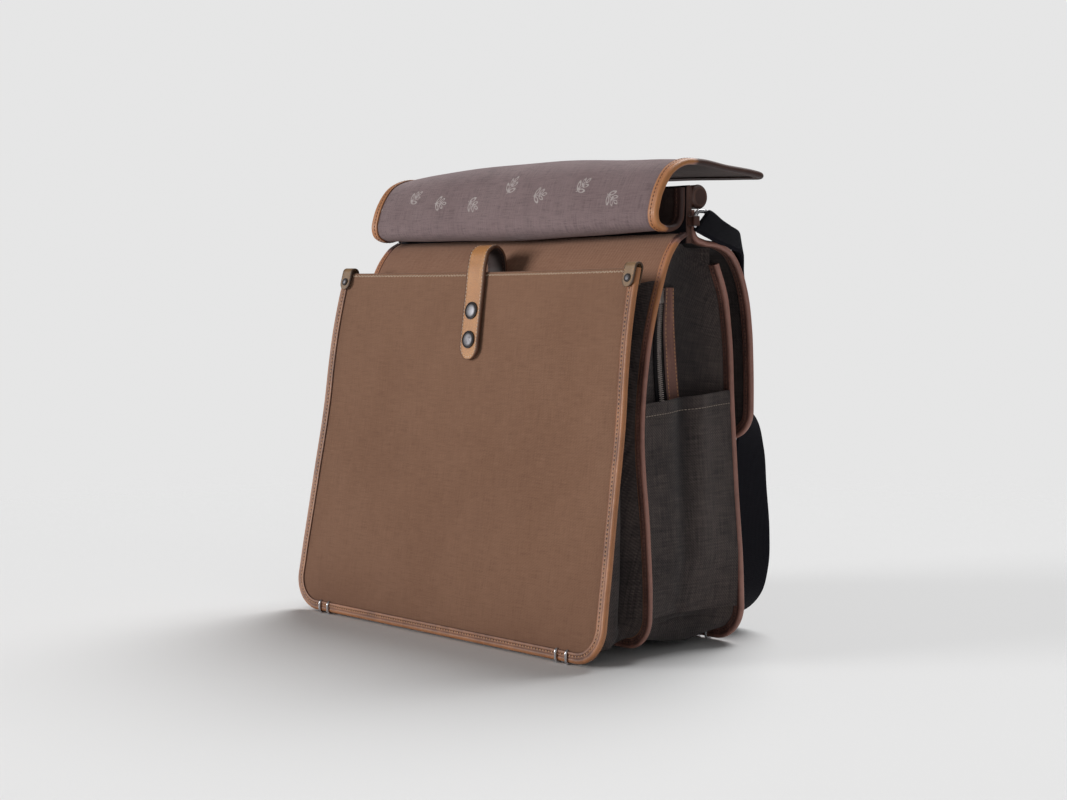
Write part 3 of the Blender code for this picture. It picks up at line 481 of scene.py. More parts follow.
# A lighter copy of the brown canvas for the back panel: painted light against the shade under the roll.
BRIGHTENED_BACK_CANVAS = cloth("brown canvas painted lighter against shade", (0.34, 0.174, 0.108), (0.42, 0.235, 0.155),
                    (0.24, 0.116, 0.074), slub=0.45)
DARK_CANVAS = cloth("dark canvas", (0.041, 0.031, 0.03), (0.115, 0.088, 0.08), (0.011, 0.009, 0.01),
                    yarn=0.0011, patch=0.05, contrast=0.7, raise_by=0.0003, slub=0.62)
BLACK_CANVAS = cloth("black canvas", (0.0085, 0.007, 0.0095), (0.024, 0.02, 0.028), (0.003, 0.003, 0.004),
                     yarn=0.001, sheen=0.0)
LINING = cloth("grey lining", (0.235, 0.162, 0.165), (0.3, 0.22, 0.22), (0.14, 0.098, 0.102),
               yarn=0.0007, print_colour=(0.58, 0.52, 0.5), blotch=0.75, slub=0.7)
UNDER_LINING = cloth("flap outside", (0.072, 0.043, 0.037), (0.15, 0.098, 0.085), (0.018, 0.011, 0.011),
                     yarn=0.0009, slub=0.5)
TAN_LEATHER = leather("tan leather", (0.56, 0.236, 0.068), (0.69, 0.34, 0.115), (0.07, 0.026, 0.013),
                      blotch=0.15)
OLIVE_LEATHER = leather("olive brown leather", (0.25, 0.14, 0.062), (0.42, 0.26, 0.13), (0.04, 0.02, 0.012))
# The last colour given to these two leathers is their painted lit colour.
RED_LEATHER = leather("red brown leather", (0.37, 0.14, 0.05), (0.52, 0.22, 0.09), (0.05, 0.018, 0.014),
                      painted_lighting=(0.52, 0.215, 0.07))
EDGE_LEATHER = leather("edge leather", (0.155, 0.068, 0.052), (0.45, 0.21, 0.16), (0.035, 0.014, 0.012),
                       painted_lighting=(0.5, 0.205, 0.08))
DARK_LEATHER_AND_SHADE = leather("dark brown leather and painted shade", (0.105, 0.042, 0.028), (0.24, 0.115, 0.075),
                        (0.03, 0.012, 0.01))
TAN_THREAD = yarn_finish("tan thread", (0.5, 0.25, 0.12), (0.8, 0.5, 0.28))
BROWN_THREAD = yarn_finish("brown thread", (0.1, 0.045, 0.028), (0.2, 0.1, 0.065))
PALE_THREAD = yarn_finish("pale thread", (0.6, 0.45, 0.32), (0.85, 0.72, 0.58))
GREY_THREAD = yarn_finish("grey thread", (0.26, 0.2, 0.16), (0.42, 0.35, 0.29))
WEB = web_finish("black webbing", (0.002, 0.0018, 0.0035), (0.01, 0.009, 0.016))
TAPE = web_finish("zipper tape", (0.004, 0.0035, 0.004), (0.02, 0.018, 0.02), rib=0.0008)
STEEL = metal("aged nickel", (0.17, 0.165, 0.175), (0.03, 0.024, 0.022), rough=0.46, share=0.7)
RING_STEEL = metal("bright nickel", (0.6, 0.6, 0.62), (0.2, 0.19, 0.2), rough=0.22, share=0.3)
ZIP_METAL = metal("dark zipper", (0.36, 0.31, 0.29), (0.08, 0.065, 0.06), rough=0.4)


# Shapes


def measured(path):
    """Length along a path at each of its points."""
    return np.concatenate([[0.0], np.cumsum(np.linalg.norm(np.diff(path, axis=0), axis=1))])


def unit(vectors):
    """Vectors over their own lengths."""
    return vectors / np.linalg.norm(vectors, axis=-1, keepdims=True)


def hump(off, width):
    """A smooth hump: 1 where nothing is off, near 0 past twice the width."""
    return np.exp(-(off / width) ** 2)


def ramped(value, start, span):
    """0 up to a start, 1 from a span past it, straight between."""
    return np.clip((value - start) / span, 0.0, 1.0)


def there_and_back(first, second=None):
    """Columns across one face and back across the other, as a ring goes round a sheet."""
    second = first if second is None else second
    return np.concatenate([first, second[:, ::-1]], axis=1)


def once_round(width):
    """The length round each ring of a sheet, across and back, for its UV."""
    return np.concatenate([width, width[:, ::-1], width[:, :1]], axis=1)


def smooth(rows, steps=10, axes=2):
    """A smooth curve through the rows: cubic Hermite spans on the length of their chords."""
    rows = np.asarray(rows, float)
    chord = np.linalg.norm(np.diff(rows[:, :axes], axis=0), axis=1)
    place = np.concatenate([[0.0], np.cumsum(chord)])
    slope = np.gradient(rows, place, axis=0)
    slope[0] = (rows[1] - rows[0]) / chord[0]
    slope[-1] = (rows[-1] - rows[-2]) / chord[-1]
    t = np.linspace(0.0, 1.0, steps, endpoint=False)[None, :, None]
    span = chord[:, None, None]
    curve = ((1 + 2 * t) * (1 - t) ** 2 * rows[:-1, None] + t * (1 - t) ** 2 * span * slope[:-1, None]
             + t ** 2 * (3 - 2 * t) * rows[1:, None] + t ** 2 * (t - 1) * span * slope[1:, None])
    return np.concatenate([curve.reshape(-1, rows.shape[1]), rows[-1:]])


def waves(x, s, seed, size):
    """Soft unevenness of a cloth: a few long sine waves in turned directions, from -1 to 1."""
    rng = np.random.default_rng(seed)
    total = 0.0
    for _ in range(6):
        angle, phase = rng.uniform(0, math.pi), rng.uniform(0, 2 * math.pi)
        length = size * rng.uniform(0.6, 1.7)
        total = total + np.sin(2 * math.pi * (x * math.cos(angle) + s * math.sin(angle)) / length + phase)
    return total / 6


class Wall:
    """A bent sheet that is level across X, with a bulge and a soft unevenness off its middle."""

    def __init__(self, rows, foot_half, top_half, corner, hem=None, below=7, above=6, sway=0.0, seed=1,
                 size=110.0):
        self.y, self.z, self.bulge = smooth(rows, 80).T
        coarse = smooth(rows).T
        self.s = measured(np.stack([self.y, self.z], axis=1))
        self.length = measured(coarse[:2].T)[-1]
        self.s *= self.length / self.s[-1]
        self.foot_half, self.top_half, self.corner = foot_half, top_half, corner
        self.ty, self.tz = np.gradient(self.y, self.s), np.gradient(self.z, self.s)
        self.sway, self.seed, self.size = sway, seed, size
        hem = (corner + self.length) / 2 if hem is None else self.at_height(hem)
        self.stops = np.concatenate([np.linspace(self.length, hem, above + 1)[:-1],
                                     np.linspace(hem, corner, below + 1)])

    def half(self, s):
        return self.foot_half + (self.top_half - self.foot_half) * np.asarray(s) / self.length

    def at_height(self, z):
        return np.interp(z, self.z, self.s)

    def place(self, x, s, n):
        """The point of x, s and n: off the profile along its normal by n, the bulge's crown and the sway."""
        x, s, n = np.broadcast_arrays(np.asarray(x, float), s, n)
        held = np.clip(s, 0.0, self.length)
        ty, tz = np.interp(held, self.s, self.ty), np.interp(held, self.s, self.tz)
        size = np.hypot(ty, tz)
        ty, tz = ty / size, tz / size
        off = n + np.interp(held, self.s, self.bulge) * (1 - (x / self.half(held)) ** 2)
        if self.sway:
            inner = np.clip((self.half(held) - np.abs(x)) / 45, 0, 1) * np.clip(held / 45, 0, 1)
            inner = inner * np.clip((self.length - held) / 45, 0, 1)
            off = off + self.sway * (0.12 + 0.88 * inner) * waves(x, held, self.seed, self.size)
        y = np.interp(held, self.s, self.y) + (s - held) * ty + off * tz
        z = np.interp(held, self.s, self.z) + (s - held) * tz - off * ty
        return np.stack([x, y, z], axis=-1)

    def sides(self, start, count):
        """Lengths down the side from a stop to the rounded corner, at even shares of the stops."""
        last = len(self.stops) - 1
        return np.interp(np.linspace(start, last, count), np.arange(last + 1), self.stops)

    def rim(self, inset, start=0, counts=(360, 44, 330)):
        """The outline at some insets, from the right top round the foot to the left top: x and s grids."""
        inset = np.atleast_1d(inset)[None, :]
        s_side = self.sides(start, counts[0])[:, None] + 0 * inset
        angle = np.linspace(0.0, math.pi / 2, counts[1] + 1)[1:, None]
        radius = self.corner - inset
        turn_x = self.half(self.corner) - self.corner + radius * np.cos(angle)
        x = np.concatenate([self.half(s_side) - inset, turn_x])
        s = np.concatenate([s_side, self.corner - radius * np.sin(angle)])
        along = np.linspace(1.0, -1.0, counts[2] + 1)[1:-1, None] * x[-1:]
        return np.concatenate([x, along, -x[::-1]]), np.concatenate([s, 0 * along + s[-1:], s[::-1]])


def loft(rings, along=None, around=None, slots=None, tone=0.0, loop=False):
    """A closed shape through rings of points, each ring closed. Open ends are closed by a ladder of faces
    between the first and second half of the ring. The UV is the length along and the length around."""
    rows, count = rings.shape[:2]
    if along is None:
        along = measured(rings.mean(axis=1))
    if loop:
        along = np.concatenate([along, [along[-1] + np.linalg.norm(rings[0].mean(0) - rings[-1].mean(0))]])
    if around is None:
        around = measured(np.concatenate([rings[rows // 2], rings[rows // 2][:1]]))
    index = np.arange(rows * count).reshape(rows, count)
    wide = np.concatenate([index, index[:, :1]], axis=1)
    if loop:
        wide = np.concatenate([wide, wide[:1]])
    around = np.broadcast_to(around, (len(along), count + 1))
    grid = np.stack(np.broadcast_arrays(along[:, None], around), axis=-1)
    cut = [(slice(None, -1), slice(None, -1)), (slice(None, -1), slice(1, None)),
           (slice(1, None), slice(1, None)), (slice(1, None), slice(None, -1))]
    quads = np.stack([wide[c] for c in cut], axis=-1).reshape(-1, 4)
    uv = np.stack([grid[c] for c in cut], axis=-2).reshape(-1, 4, 2)
    band = np.zeros(count, int) if slots is None else np.asarray(slots)
    face_slots = np.tile(band, len(wide) - 1)
    if not loop:
        j = np.arange(count // 2 - 1)
        for ring, turn in ((0, 1), (rows - 1, -1)):
            step = [j + 1, j, count - 1 - j, count - 2 - j][::turn]
            quads = np.concatenate([quads, np.stack([index[ring, k] for k in step], axis=-1)])
            uv = np.concatenate([uv, np.stack([grid[ring, k] for k in step], axis=-2)])
            face_slots = np.concatenate([face_slots, band[j]])
    points = rings.reshape(-1, 3)
    a, b, c, d = (points[quads[:, k]] for k in range(4))
    volume = (a * (np.cross(b, c) + np.cross(c, d))).sum()
    if volume < 0:
        quads, uv = quads[:, ::-1], uv[:, ::-1]
    tone = np.broadcast_to(tone, (rows, count)).reshape(-1)
    return points, quads, uv, face_slots, tone


def many(rings, slot=0):
    """Many small closed shapes at once, from an array of shapes by rings by points."""
    points, quads, uv = loft(rings[0])[:3]
    count = len(rings)
    steps = (np.arange(count) * len(points))[:, None, None]
    return (rings.reshape(-1, 3), (quads[None] + steps).reshape(-1, 4), np.tile(uv, (count, 1, 1)),
            np.full(count * len(quads), slot), np.zeros(count * len(points)))


def slotted(shape, slot):
    """The same shape in another of its piece's materials."""
    points, quads, uv, _, tone = shape
    return points, quads, uv, np.full(len(quads), slot), tone


def mirrored(shape):
    """The same shape on the other side of the bag, its faces turned outwards again."""
    points, quads, uv, slots, tone = shape
    return points * [-1.0, 1.0, 1.0], quads[:, ::-1], uv[:, ::-1], slots, tone


def kept(shape):
    """The shape as it is, for the right side of the bag."""
    return shape


SIDES = (("right", kept), ("left", mirrored))


def piece(name, shapes, materials, nodes=(), sharp=40.0):
    """Join shapes into one object that rides on the bag and stands for the named nodes."""
    starts = np.cumsum([0] + [len(shape[0]) for shape in shapes[:-1]])
    points = np.concatenate([shape[0] for shape in shapes])
    quads = np.concatenate([shape[1] + start for shape, start in zip(shapes, starts)])
    uv = np.concatenate([shape[2] for shape in shapes])
    slots = np.concatenate([shape[3] for shape in shapes])
    tone = np.concatenate([shape[4] for shape in shapes])
    mesh = bpy.data.meshes.new(name)
    mesh.vertices.add(len(points))
    placed = (points + [0.0, SHIFT_Y, 0.0]) * MM
    mesh.vertices.foreach_set("co", placed.astype(np.float32).ravel())
    mesh.loops.add(quads.size)
    mesh.loops.foreach_set("vertex_index", quads.astype(np.int32).ravel())
    mesh.polygons.add(len(quads))
    mesh.polygons.foreach_set("loop_start", np.arange(len(quads), dtype=np.int32) * 4)
    mesh.polygons.foreach_set("material_index", slots.astype(np.int32))
    mesh.update(calc_edges=True)
    layer = mesh.uv_layers.new(name="UVMap")
    layer.data.foreach_set("uv", (uv * MM).astype(np.float32).ravel())
    mesh.attributes.new("tone", "FLOAT", "POINT").data.foreach_set("value", tone.astype(np.float32))
    mesh.shade_smooth()
    mesh.set_sharp_from_angle(angle=math.radians(sharp))
    mesh.validate()
    for material in materials:
        mesh.materials.append(material)
    made = bpy.data.objects.new(name, mesh)
    bpy.context.scene.collection.objects.link(made)
    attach(made, "root")
    if nodes:
        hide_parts(*nodes)
    return made


def stitches(centre, ahead, up, long=2.1, radius=0.34, lift=0.28, slot=0):
    """A row of sewn stitches: each an arched, tapered sausage along the seam, its ends sunk in."""
    t = np.array([-1.0, -0.72, 0.0, 0.72, 1.0])[:, None, None]
    size = np.array([0.3, 0.85, 1.0, 0.85, 0.3])[:, None, None]
    angle = np.linspace(0, 2 * math.pi, 6, endpoint=False)[None, :, None]
    centre, ahead, up = (v[:, None, None] for v in (centre, ahead, up))
    side = np.cross(ahead, up)
    rings = (centre + ahead * t * long / 2 + up * (lift * (1 - t ** 2) - 0.12)
             + radius * size * (np.cos(angle) * side + np.sin(angle) * up))
    return many(rings, slot)


def seam(wall, x, s, n, pitch=STITCH_PITCH, slot=0, slant=0.0, **kind):
    """Stitches at an even pitch along a line of x and s on one face of a wall, n off its middle. A slant
    turns every stitch a little out of the line."""
    path = wall.place(x, s, n)
    length = measured(path)
    count = max(1, int(length[-1] / pitch))
    middle = (np.arange(count) + 0.5) * length[-1] / count

    def place(at, off):
        return wall.place(np.interp(at, length, x), np.interp(at, length, s), off)

    centre = place(middle, n)
    ahead = unit(place(middle + 0.4, n) - place(middle - 0.4, n))
    up = unit(place(middle, n * 1.2) - centre)
    ahead = unit(ahead + slant * np.cross(ahead, up))
    return stitches(centre, ahead, up, slot=slot, **kind)


def sheet_rings(wall, thick, x, s, columns, hem):
    """A wall's cloth: rings across it, front face then back face, its thickness rounded off at the top
    edge and made 0.5 thicker in a hem below it."""
    across = np.linspace(-1.0, 1.0, columns)
    grid_x, grid_s = x[:, None] * across, s[:, None] + 0 * across
    size = np.full(len(s), thick / 2)
    if hem:
        size = size + 0.25 / (1 + np.exp(-(s - (wall.length - hem)) / 0.5))
    size = size * np.sqrt(np.clip(1 - ramped(s, wall.length - 1.4, 1.5) ** 2, 0.02, 1))
    front, back = (wall.place(grid_x, grid_s, way * size[:, None]) for way in (1.0, -1.0))
    return there_and_back(front, back), grid_x, grid_s


def panel(wall, thick, columns=120, counts=(240, 40), hem=0.0, slots=None, seed=0, shading_ramp=0.0):
    """The cloth of a wall inside its binding, with a tone that soils its edges a little and can paint it
    paler towards its top and darker towards its foot, as painted light and shade."""
    x, s = wall.rim(EDGE_ROOM, 0, (counts[0], counts[1], 2))
    keep = counts[0] + counts[1]
    x, s = x[:keep, 0], s[:keep, 0]
    near_top = s > wall.length - 3
    rows = np.concatenate([np.linspace(wall.length, wall.length - 3, 16), s[~near_top]])
    x = np.interp(-rows, -s, x)
    rings, grid_x, grid_s = sheet_rings(wall, thick, x, rows, columns, hem)
    edge = np.minimum(wall.half(grid_s) - np.abs(grid_x), grid_s)
    tone = -0.35 * np.exp(-np.clip(edge - 9, 0, None) / 5) + 0.25 * waves(grid_x, grid_s, seed + 40, 160.0)
    # Painted light and shade: paler towards the top, darker towards the foot.
    tone = tone + shading_ramp * (grid_s / wall.length - 0.45)
    band = None if slots is None else np.repeat(slots, columns)
    return loft(rings, along=-rows, around=once_round(grid_x), slots=band, tone=there_and_back(tone))


def binding_section(thick, half):
    """Leather folded over an edge, as depth and n: a rounded nose, flat faces with a sewn groove, and a
    lip at each cut edge, closed by its inside against the cloth. With it comes each point's tone."""
    turn = np.linspace(0.0, math.pi / 2, 8)
    nose = np.stack([2.6 - 2.6 * np.sin(turn), half * np.cos(turn)], axis=1)
    flat_depth = np.array([8.5, 8.42, 8.2, 7.6, 6.8, 6.4, 6.0, 5.6, 5.2, 4.6, 3.9, 3.2])
    groove = 0.34 * hump(flat_depth - STITCH_DEPTH, 0.42) + 0.3 * hump(flat_depth - 3.9, 0.6)
    lip = np.array([0.75, 0.35, 0.12, 0, 0, 0, 0, 0, 0, 0, 0, 0])
    swell = 0.06 * np.sin((flat_depth - 3) / 3.3 * math.pi)
    face = np.stack([flat_depth, half - 0.06 - groove - lip + swell], axis=1)
    outer = np.concatenate([face, nose])
    inner_n = thick / 2 + 0.08
    inner_depth = np.array([8.5, 5.0, 1.4])
    inner = np.stack([np.concatenate([inner_depth, inner_depth[::-1]]),
                      np.repeat([-inner_n, inner_n], 3)], axis=1)
    section = np.concatenate([outer, outer[-2::-1] * [1.0, -1.0], inner])
    # The tone: dark at the dyed cut edge, painted shade in the sewn groove and the inner groove, and paler up
    # to the nose as a painted highlight; the inside is dark against the cloth.
    tone = np.concatenate([[-1.0, -0.8, -0.35, 0.1, 0.1, -0.2, -0.4, -0.2, 0.1, 0.15, -0.55, -0.1],
                           0.3 + 0.55 * np.sin(turn)])
    return section, np.concatenate([tone, tone[-2::-1], np.full(BINDING_INSIDE, -1.0)])


def binding(wall, thick, half, counts=(360, 44, 460), shading_ramp=None, slots=None, width=1.0):
    """The folded leather swept round a wall's outline, puckered a little at every stitch."""
    section, tone = binding_section(thick, half)
    section = section * [width, 1.0]
    x, s = wall.rim(section[:, 0], 0, counts)
    line = wall.place(x[:, 20], s[:, 20], 0.0)
    length = measured(line)
    sewn = STITCH_DEPTH * width
    pull = hump(section[:, 0] - sewn, 1.1)[None] * np.sign(section[:, 1])[None]
    pucker = 0.07 * np.cos(2 * math.pi * length / STITCH_PITCH)[:, None] * pull
    soft = 0.1 * waves(length[:, None], section[None, :, 1] * 3, 7, 34.0)
    outside = np.arange(len(section)) < len(section) - BINDING_INSIDE
    n = section[None, :, 1] + outside * (pucker + soft)
    grid = tone[None] + 0.22 * waves(length[:, None], section[None, :, 0], 11, 70.0)
    # Darker holes at every stitch: painted shade in the holes.
    hole_shade = np.clip(3.2 * np.cos(2 * math.pi * length / STITCH_PITCH) - 1.6, 0, 1)[:, None]
    grid = grid - 1.3 * hole_shade * hump(section[None, :, 0] - sewn, 0.7)
    # Painted light and shade along the outline, from the ramp given.
    if shading_ramp is not None:
        grid = grid + shading_ramp(s[:, :1])
    return loft(wall.place(x, s, n), along=length, tone=grid, slots=slots)


def rim_seam(wall, half, faces=(-1.0, 1.0), slot=1, depth=STITCH_DEPTH, long=1.75, radius=0.4, lift=0.3):
    """The stitches of a binding, round the outline on the named faces."""
    x, s = wall.rim(depth)
    return [seam(wall, x[:, 0], s[:, 0], way * (half - 0.3), slot=slot, long=long, radius=radius, lift=lift)
            for way in faces]


def gusset(rear, front, starts, inset, fold, columns, form, seed, sag, rise=0.0, counts=(230, 60, 150)):
    """Folded cloth between two walls' rims: it folds inwards by the fold times a form of the share across,
    which wanders along the rim, crumples where the rim turns its corners, and sags under the foot."""
    share = np.linspace(0.0, 1.0, columns)[None, :]
    rims = [wall.rim(np.array([inset, inset + 1.0]), start, counts)
            for wall, start in zip((rear, front), starts)]
    first = rear.place(*rims[0], CANVAS / 2 + 0.2)
    last = front.place(*rims[1], -CANVAS / 2 - 0.2)
    across = share[..., None]
    straight = first[:, 0, None] + (last[:, 0] - first[:, 0])[:, None] * across
    first_in, last_in = (rim[:, 1] - rim[:, 0] for rim in (first, last))
    inward = first_in[:, None] * (1 - across) + last_in[:, None] * across
    length = measured((first[:, 0] + last[:, 0]) / 2)[:, None]
    ease = np.sin(math.pi * share)
    shape = form(np.clip(share + 0.03 * ease * waves(length, 0 * length, seed, 260.0), 0, 1))
    depth = gusset_depth(length, share, shape, fold, seed, sag, counts)
    outer = straight + inward * depth[..., None]
    inner = straight + inward * (depth + GUSSET_CLOTH)[..., None]
    width = np.linalg.norm(last[:, 0] - first[:, 0], axis=1)[:, None] * share
    # Painted light and shade: paler near the walls, darker where the cloth folds in deepest, with soft random
    # waves.
    tone = 0.45 - 1.1 * shape + 0.25 * waves(length, 50 * share, seed + 5, 90.0)
    if rise:
        outer, inner, tone, width = raised_ends(outer, inner, tone, width, share, rise)
        length = measured((outer[:, 0] + outer[:, -1]) / 2)[:, None]
    return loft(there_and_back(outer, inner), along=length[:, 0], around=once_round(width),
                tone=there_and_back(tone))


def gusset_depth(length, share, shape, fold, seed, sag, counts):
    """How far a gusset lies inwards: the fold with soft unevenness, crumples at the corners and one crease
    slanting across each, and nothing but the sag under the foot."""
    row = np.arange(len(length))[:, None]
    from_top = np.minimum(row, row[::-1])
    ease = np.sin(math.pi * share)
    turn = hump(row - counts[0] - counts[1] / 2, counts[1] * 0.6)
    turn = turn + turn[::-1]
    under = ramped(from_top, counts[0] + 0.3 * counts[1], 0.7 * counts[1])
    near = np.minimum(length, length[-1] - length) - length[counts[0] + counts[1] // 2]
    diagonal = hump(near + 16.0 - 46.0 * share, 4.5)
    crumple = turn * 1.2 * np.sin(length / 9.5 + 5 * share)
    depth = fold * shape * (1 + 0.1 * waves(length, 40 * share, seed + 1, 120.0)) * (1 - under)
    depth = depth + ease * (0.5 * waves(length, 60 * share, seed + 2, 45.0) - sag * under + crumple
                            - 1.8 * diagonal)
    return np.maximum(depth, -sag * ease)


def raised_ends(outer, inner, tone, width, share, rise):
    """A gusset with rows above both its ends, straight up towards a height, most of all at its front."""
    raised = []
    for face in (outer, inner):
        for end, way in ((0, 1), (-1, -1)):
            t = np.linspace(1.0, 0.0, RISE_ROWS, endpoint=False)[::way, None]
            gap = np.clip(rise - face[end, :, 2], 0.0, None) * share[0] ** 0.5
            raised.append(face[end] + t[..., None] * gap[:, None] * [0.0, 0.0, 1.0])
    outer = np.concatenate([raised[0], outer, raised[1]])
    inner = np.concatenate([raised[2], inner, raised[3]])
    tone, width = (np.concatenate([grid[:1].repeat(RISE_ROWS, axis=0), grid,
                                   grid[-1:].repeat(RISE_ROWS, axis=0)]) for grid in (tone, width))
    return outer, inner, tone, width


def side_grid(rear, front, lengths, shares, depth):
    """Points on the right side of the bag: between lengths up its walls and shares of its depth, some
    depth inside the outline."""
    ends = []
    for wall, length, n in ((rear, lengths[0], REACH - 0.2), (front, lengths[1], -REACH + 0.2)):
        s = length[:, None] + 0 * shares
        ends.append(wall.place(wall.half(s) - depth, s, n))
    return ends[0] + (ends[1] - ends[0]) * shares[:, :, None]


def side_strip(rear, front, lengths, shares, depth, thick, along, tone=0.0):
    """A strip on the side with a flat face and rounded long edges: depth falls off towards its edges."""
    columns = shares.shape[1]
    edge = np.minimum(np.arange(columns), np.arange(columns)[::-1])
    near = np.sqrt(np.clip(1 - (1 - np.clip(edge / 3, 0, 1)) ** 2, 0.05, 1))[None]
    outer = side_grid(rear, front, lengths, shares, depth + thick / 2 - thick / 2 * near)
    inner = side_grid(rear, front, lengths, shares, depth + thick / 2 + thick / 2 * near)
    width = np.linalg.norm(outer[:, -1] - outer[:, 0], axis=1)[:, None] * np.linspace(0, 1, columns)
    return loft(there_and_back(outer, inner), along=along, around=once_round(width), tone=tone)


def band_section(columns, bends, power):
    """The ring round a flat band with round edges: shares of its flat width, shares of an edge's bend
    outwards, shares through its thickness, and 1 at the edges falling off inside."""
    turn = np.linspace(-math.pi / 2, math.pi / 2, bends + 2)[1:-1]
    flat = np.linspace(-1.0, 1.0, columns)
    ones = np.ones(bends)
    a = np.concatenate([flat, ones, flat[::-1], -ones])
    round_a = np.concatenate([0 * flat, np.cos(turn), 0 * flat, -np.cos(turn)])
    b = np.concatenate([0 * flat - 1, np.sin(turn), 0 * flat + 1, np.sin(turn)[::-1]])
    edge = np.concatenate([np.abs(flat) ** power, ones, np.abs(flat[::-1]) ** power, ones])
    return a, round_a, b, edge


def ribbon(centre, across, normal, half, thick, columns, along=None, worn=0.0):
    """A flat band carried along a path: a section with a flat face and round edges, as wide as half says,
    its edges worn or soiled by a tone."""
    a, round_a, b, edge = band_section(columns, 5, 8)
    half, thick = np.asarray(half, float).reshape(-1, 1), np.asarray(thick, float).reshape(-1, 1)
    wide = np.clip(half - thick / 2, 0.0, None) * a + thick / 2 * round_a
    rings = centre[:, None] + across[:, None] * wide[..., None] + normal[:, None] * (thick / 2 * b)[..., None]
    return loft(rings, along=along, tone=worn * edge)


def turned(origin, axis, rows, sides=48):
    """A round solid about an axis, from rows of distance along it, radius and tone."""
    axis = unit(np.asarray(axis, float))
    helper = np.array([0.0, 0.0, 1.0]) if abs(axis[2]) < 0.9 else np.array([1.0, 0.0, 0.0])
    first = unit(np.cross(axis, helper))
    second = np.cross(axis, first)
    angle = np.linspace(0.0, 2 * math.pi, sides, endpoint=False)[:, None]
    circle = np.cos(angle) * first + np.sin(angle) * second
    rows = np.asarray(rows, float)
    rings = np.asarray(origin) + rows[:, :1, None] * axis + rows[:, 1:2, None] * circle[None]
    return loft(rings, along=measured(rows[:, :2]), tone=rows[:, 2:])


def wire(path, radius, sides=12, loop=False):
    """Round wire along a path: a circle carried along it in a frame that turns as little as it can."""
    ahead = np.roll(path, -1, axis=0) - np.roll(path, 1, axis=0)
    if not loop:
        ahead[0], ahead[-1] = path[1] - path[0], path[-1] - path[-2]
    ahead = unit(ahead)
    helper = np.array([1.0, 0.0, 0.0]) if np.abs(ahead[:, 0]).max() < 0.95 else np.array([0.0, 0.31, 0.95])
    side = unit(np.cross(ahead, helper))
    up = np.cross(side, ahead)
    angle = np.linspace(0.0, 2 * math.pi, sides, endpoint=False)[None, :, None]
    circle = np.cos(angle) * side[:, None] + np.sin(angle) * up[:, None]
    return loft(path[:, None] + radius * circle, loop=loop)


def dense(points, step=0.6):
    """The same path with a point every step."""
    length = measured(points)
    at = np.linspace(0, length[-1], max(2, int(length[-1] / step)) + 1)
    return np.stack([np.interp(at, length, points[:, k]) for k in range(points.shape[1])], axis=1)


def arc(centre, radius, start, end, count):
    """Points on an arc about a centre, from one angle in degrees to another."""
    angle = np.radians(np.linspace(start, end, count))
    return np.stack([centre[0] + radius * np.cos(angle), centre[1] + radius * np.sin(angle)], axis=1)


# The pieces


def zigzag(pocket, way):
    """The seam along the pocket's top: two rows of stitches that lean opposite ways, half a pitch apart."""
    x = np.linspace(-ZIGZAG_END, ZIGZAG_END, 500)
    s = 0 * x + pocket.length - ZIGZAG_FROM_TOP
    rows = ((0.0, 2.5, ZIGZAG_SLANT), (ZIGZAG_PITCH / 2, 1.7, -ZIGZAG_SLANT))
    return [seam(pocket, x + shift, s, way * (CANVAS / 2 + 0.2), ZIGZAG_PITCH, slot=1, long=long,
                 radius=0.36, slant=slant) for shift, long, slant in rows]


def make_pocket(pocket):
    """Rear slip pocket: canvas with a hem sewn along its top, and bright leather round its edge."""
    # The pocket canvas is painted paler towards its top and darker towards its foot: painted light and shade.
    cloth_shapes = [panel(pocket, CANVAS, columns=150, hem=8.0, seed=3, shading_ramp=0.75)]
    piece("pocket_canvas", cloth_shapes + zigzag(pocket, -1.0) + zigzag(pocket, 1.0),
          [BROWN_CANVAS, PALE_THREAD], ["pocket_panel"])
    piece("pocket_edge_leather", [binding(pocket, CANVAS, BINDING_HALF)] + rim_seam(pocket, BINDING_HALF),
          [RED_LEATHER, TAN_THREAD], ["pocket_binding"])


def make_back_and_front(back, front):
    """Back and front panels with their darker bindings. The back binding is painted lighter towards its top,
    as painted light, and dark where it runs under the roll, as painted shade.
    """

    # Painted light up the back binding's top, and painted shade over its last stretch, where it runs under
    # the roll.
    def bright(s):
        return 2.0 * ramped(s, BRIGHT_FROM, 50.0) - 3.4 * ramped(s, back.length - DARK_FROM_TOP, 9.0)

    # The back panel takes the lighter canvas copy: painted light.
    piece("back_canvas", [panel(back, CANVAS, seed=5)], [BRIGHTENED_BACK_CANVAS], ["back_panel"])
    width = BACK_BINDING_SHARE
    piece("back_edge_leather", [binding(back, CANVAS, BACK_BINDING_HALF, shading_ramp=bright, width=width)]
          + rim_seam(back, BACK_BINDING_HALF, depth=STITCH_DEPTH * width),
          [EDGE_LEATHER, BROWN_THREAD], ["back_binding"])
    piece("front_canvas", [panel(front, CANVAS, seed=6)], [DARK_CANVAS], ["front_panel"])
    piece("front_edge_leather", [binding(front, CANVAS, BINDING_HALF)] + rim_seam(front, BINDING_HALF),
          [EDGE_LEATHER, BROWN_THREAD], ["front_binding"])


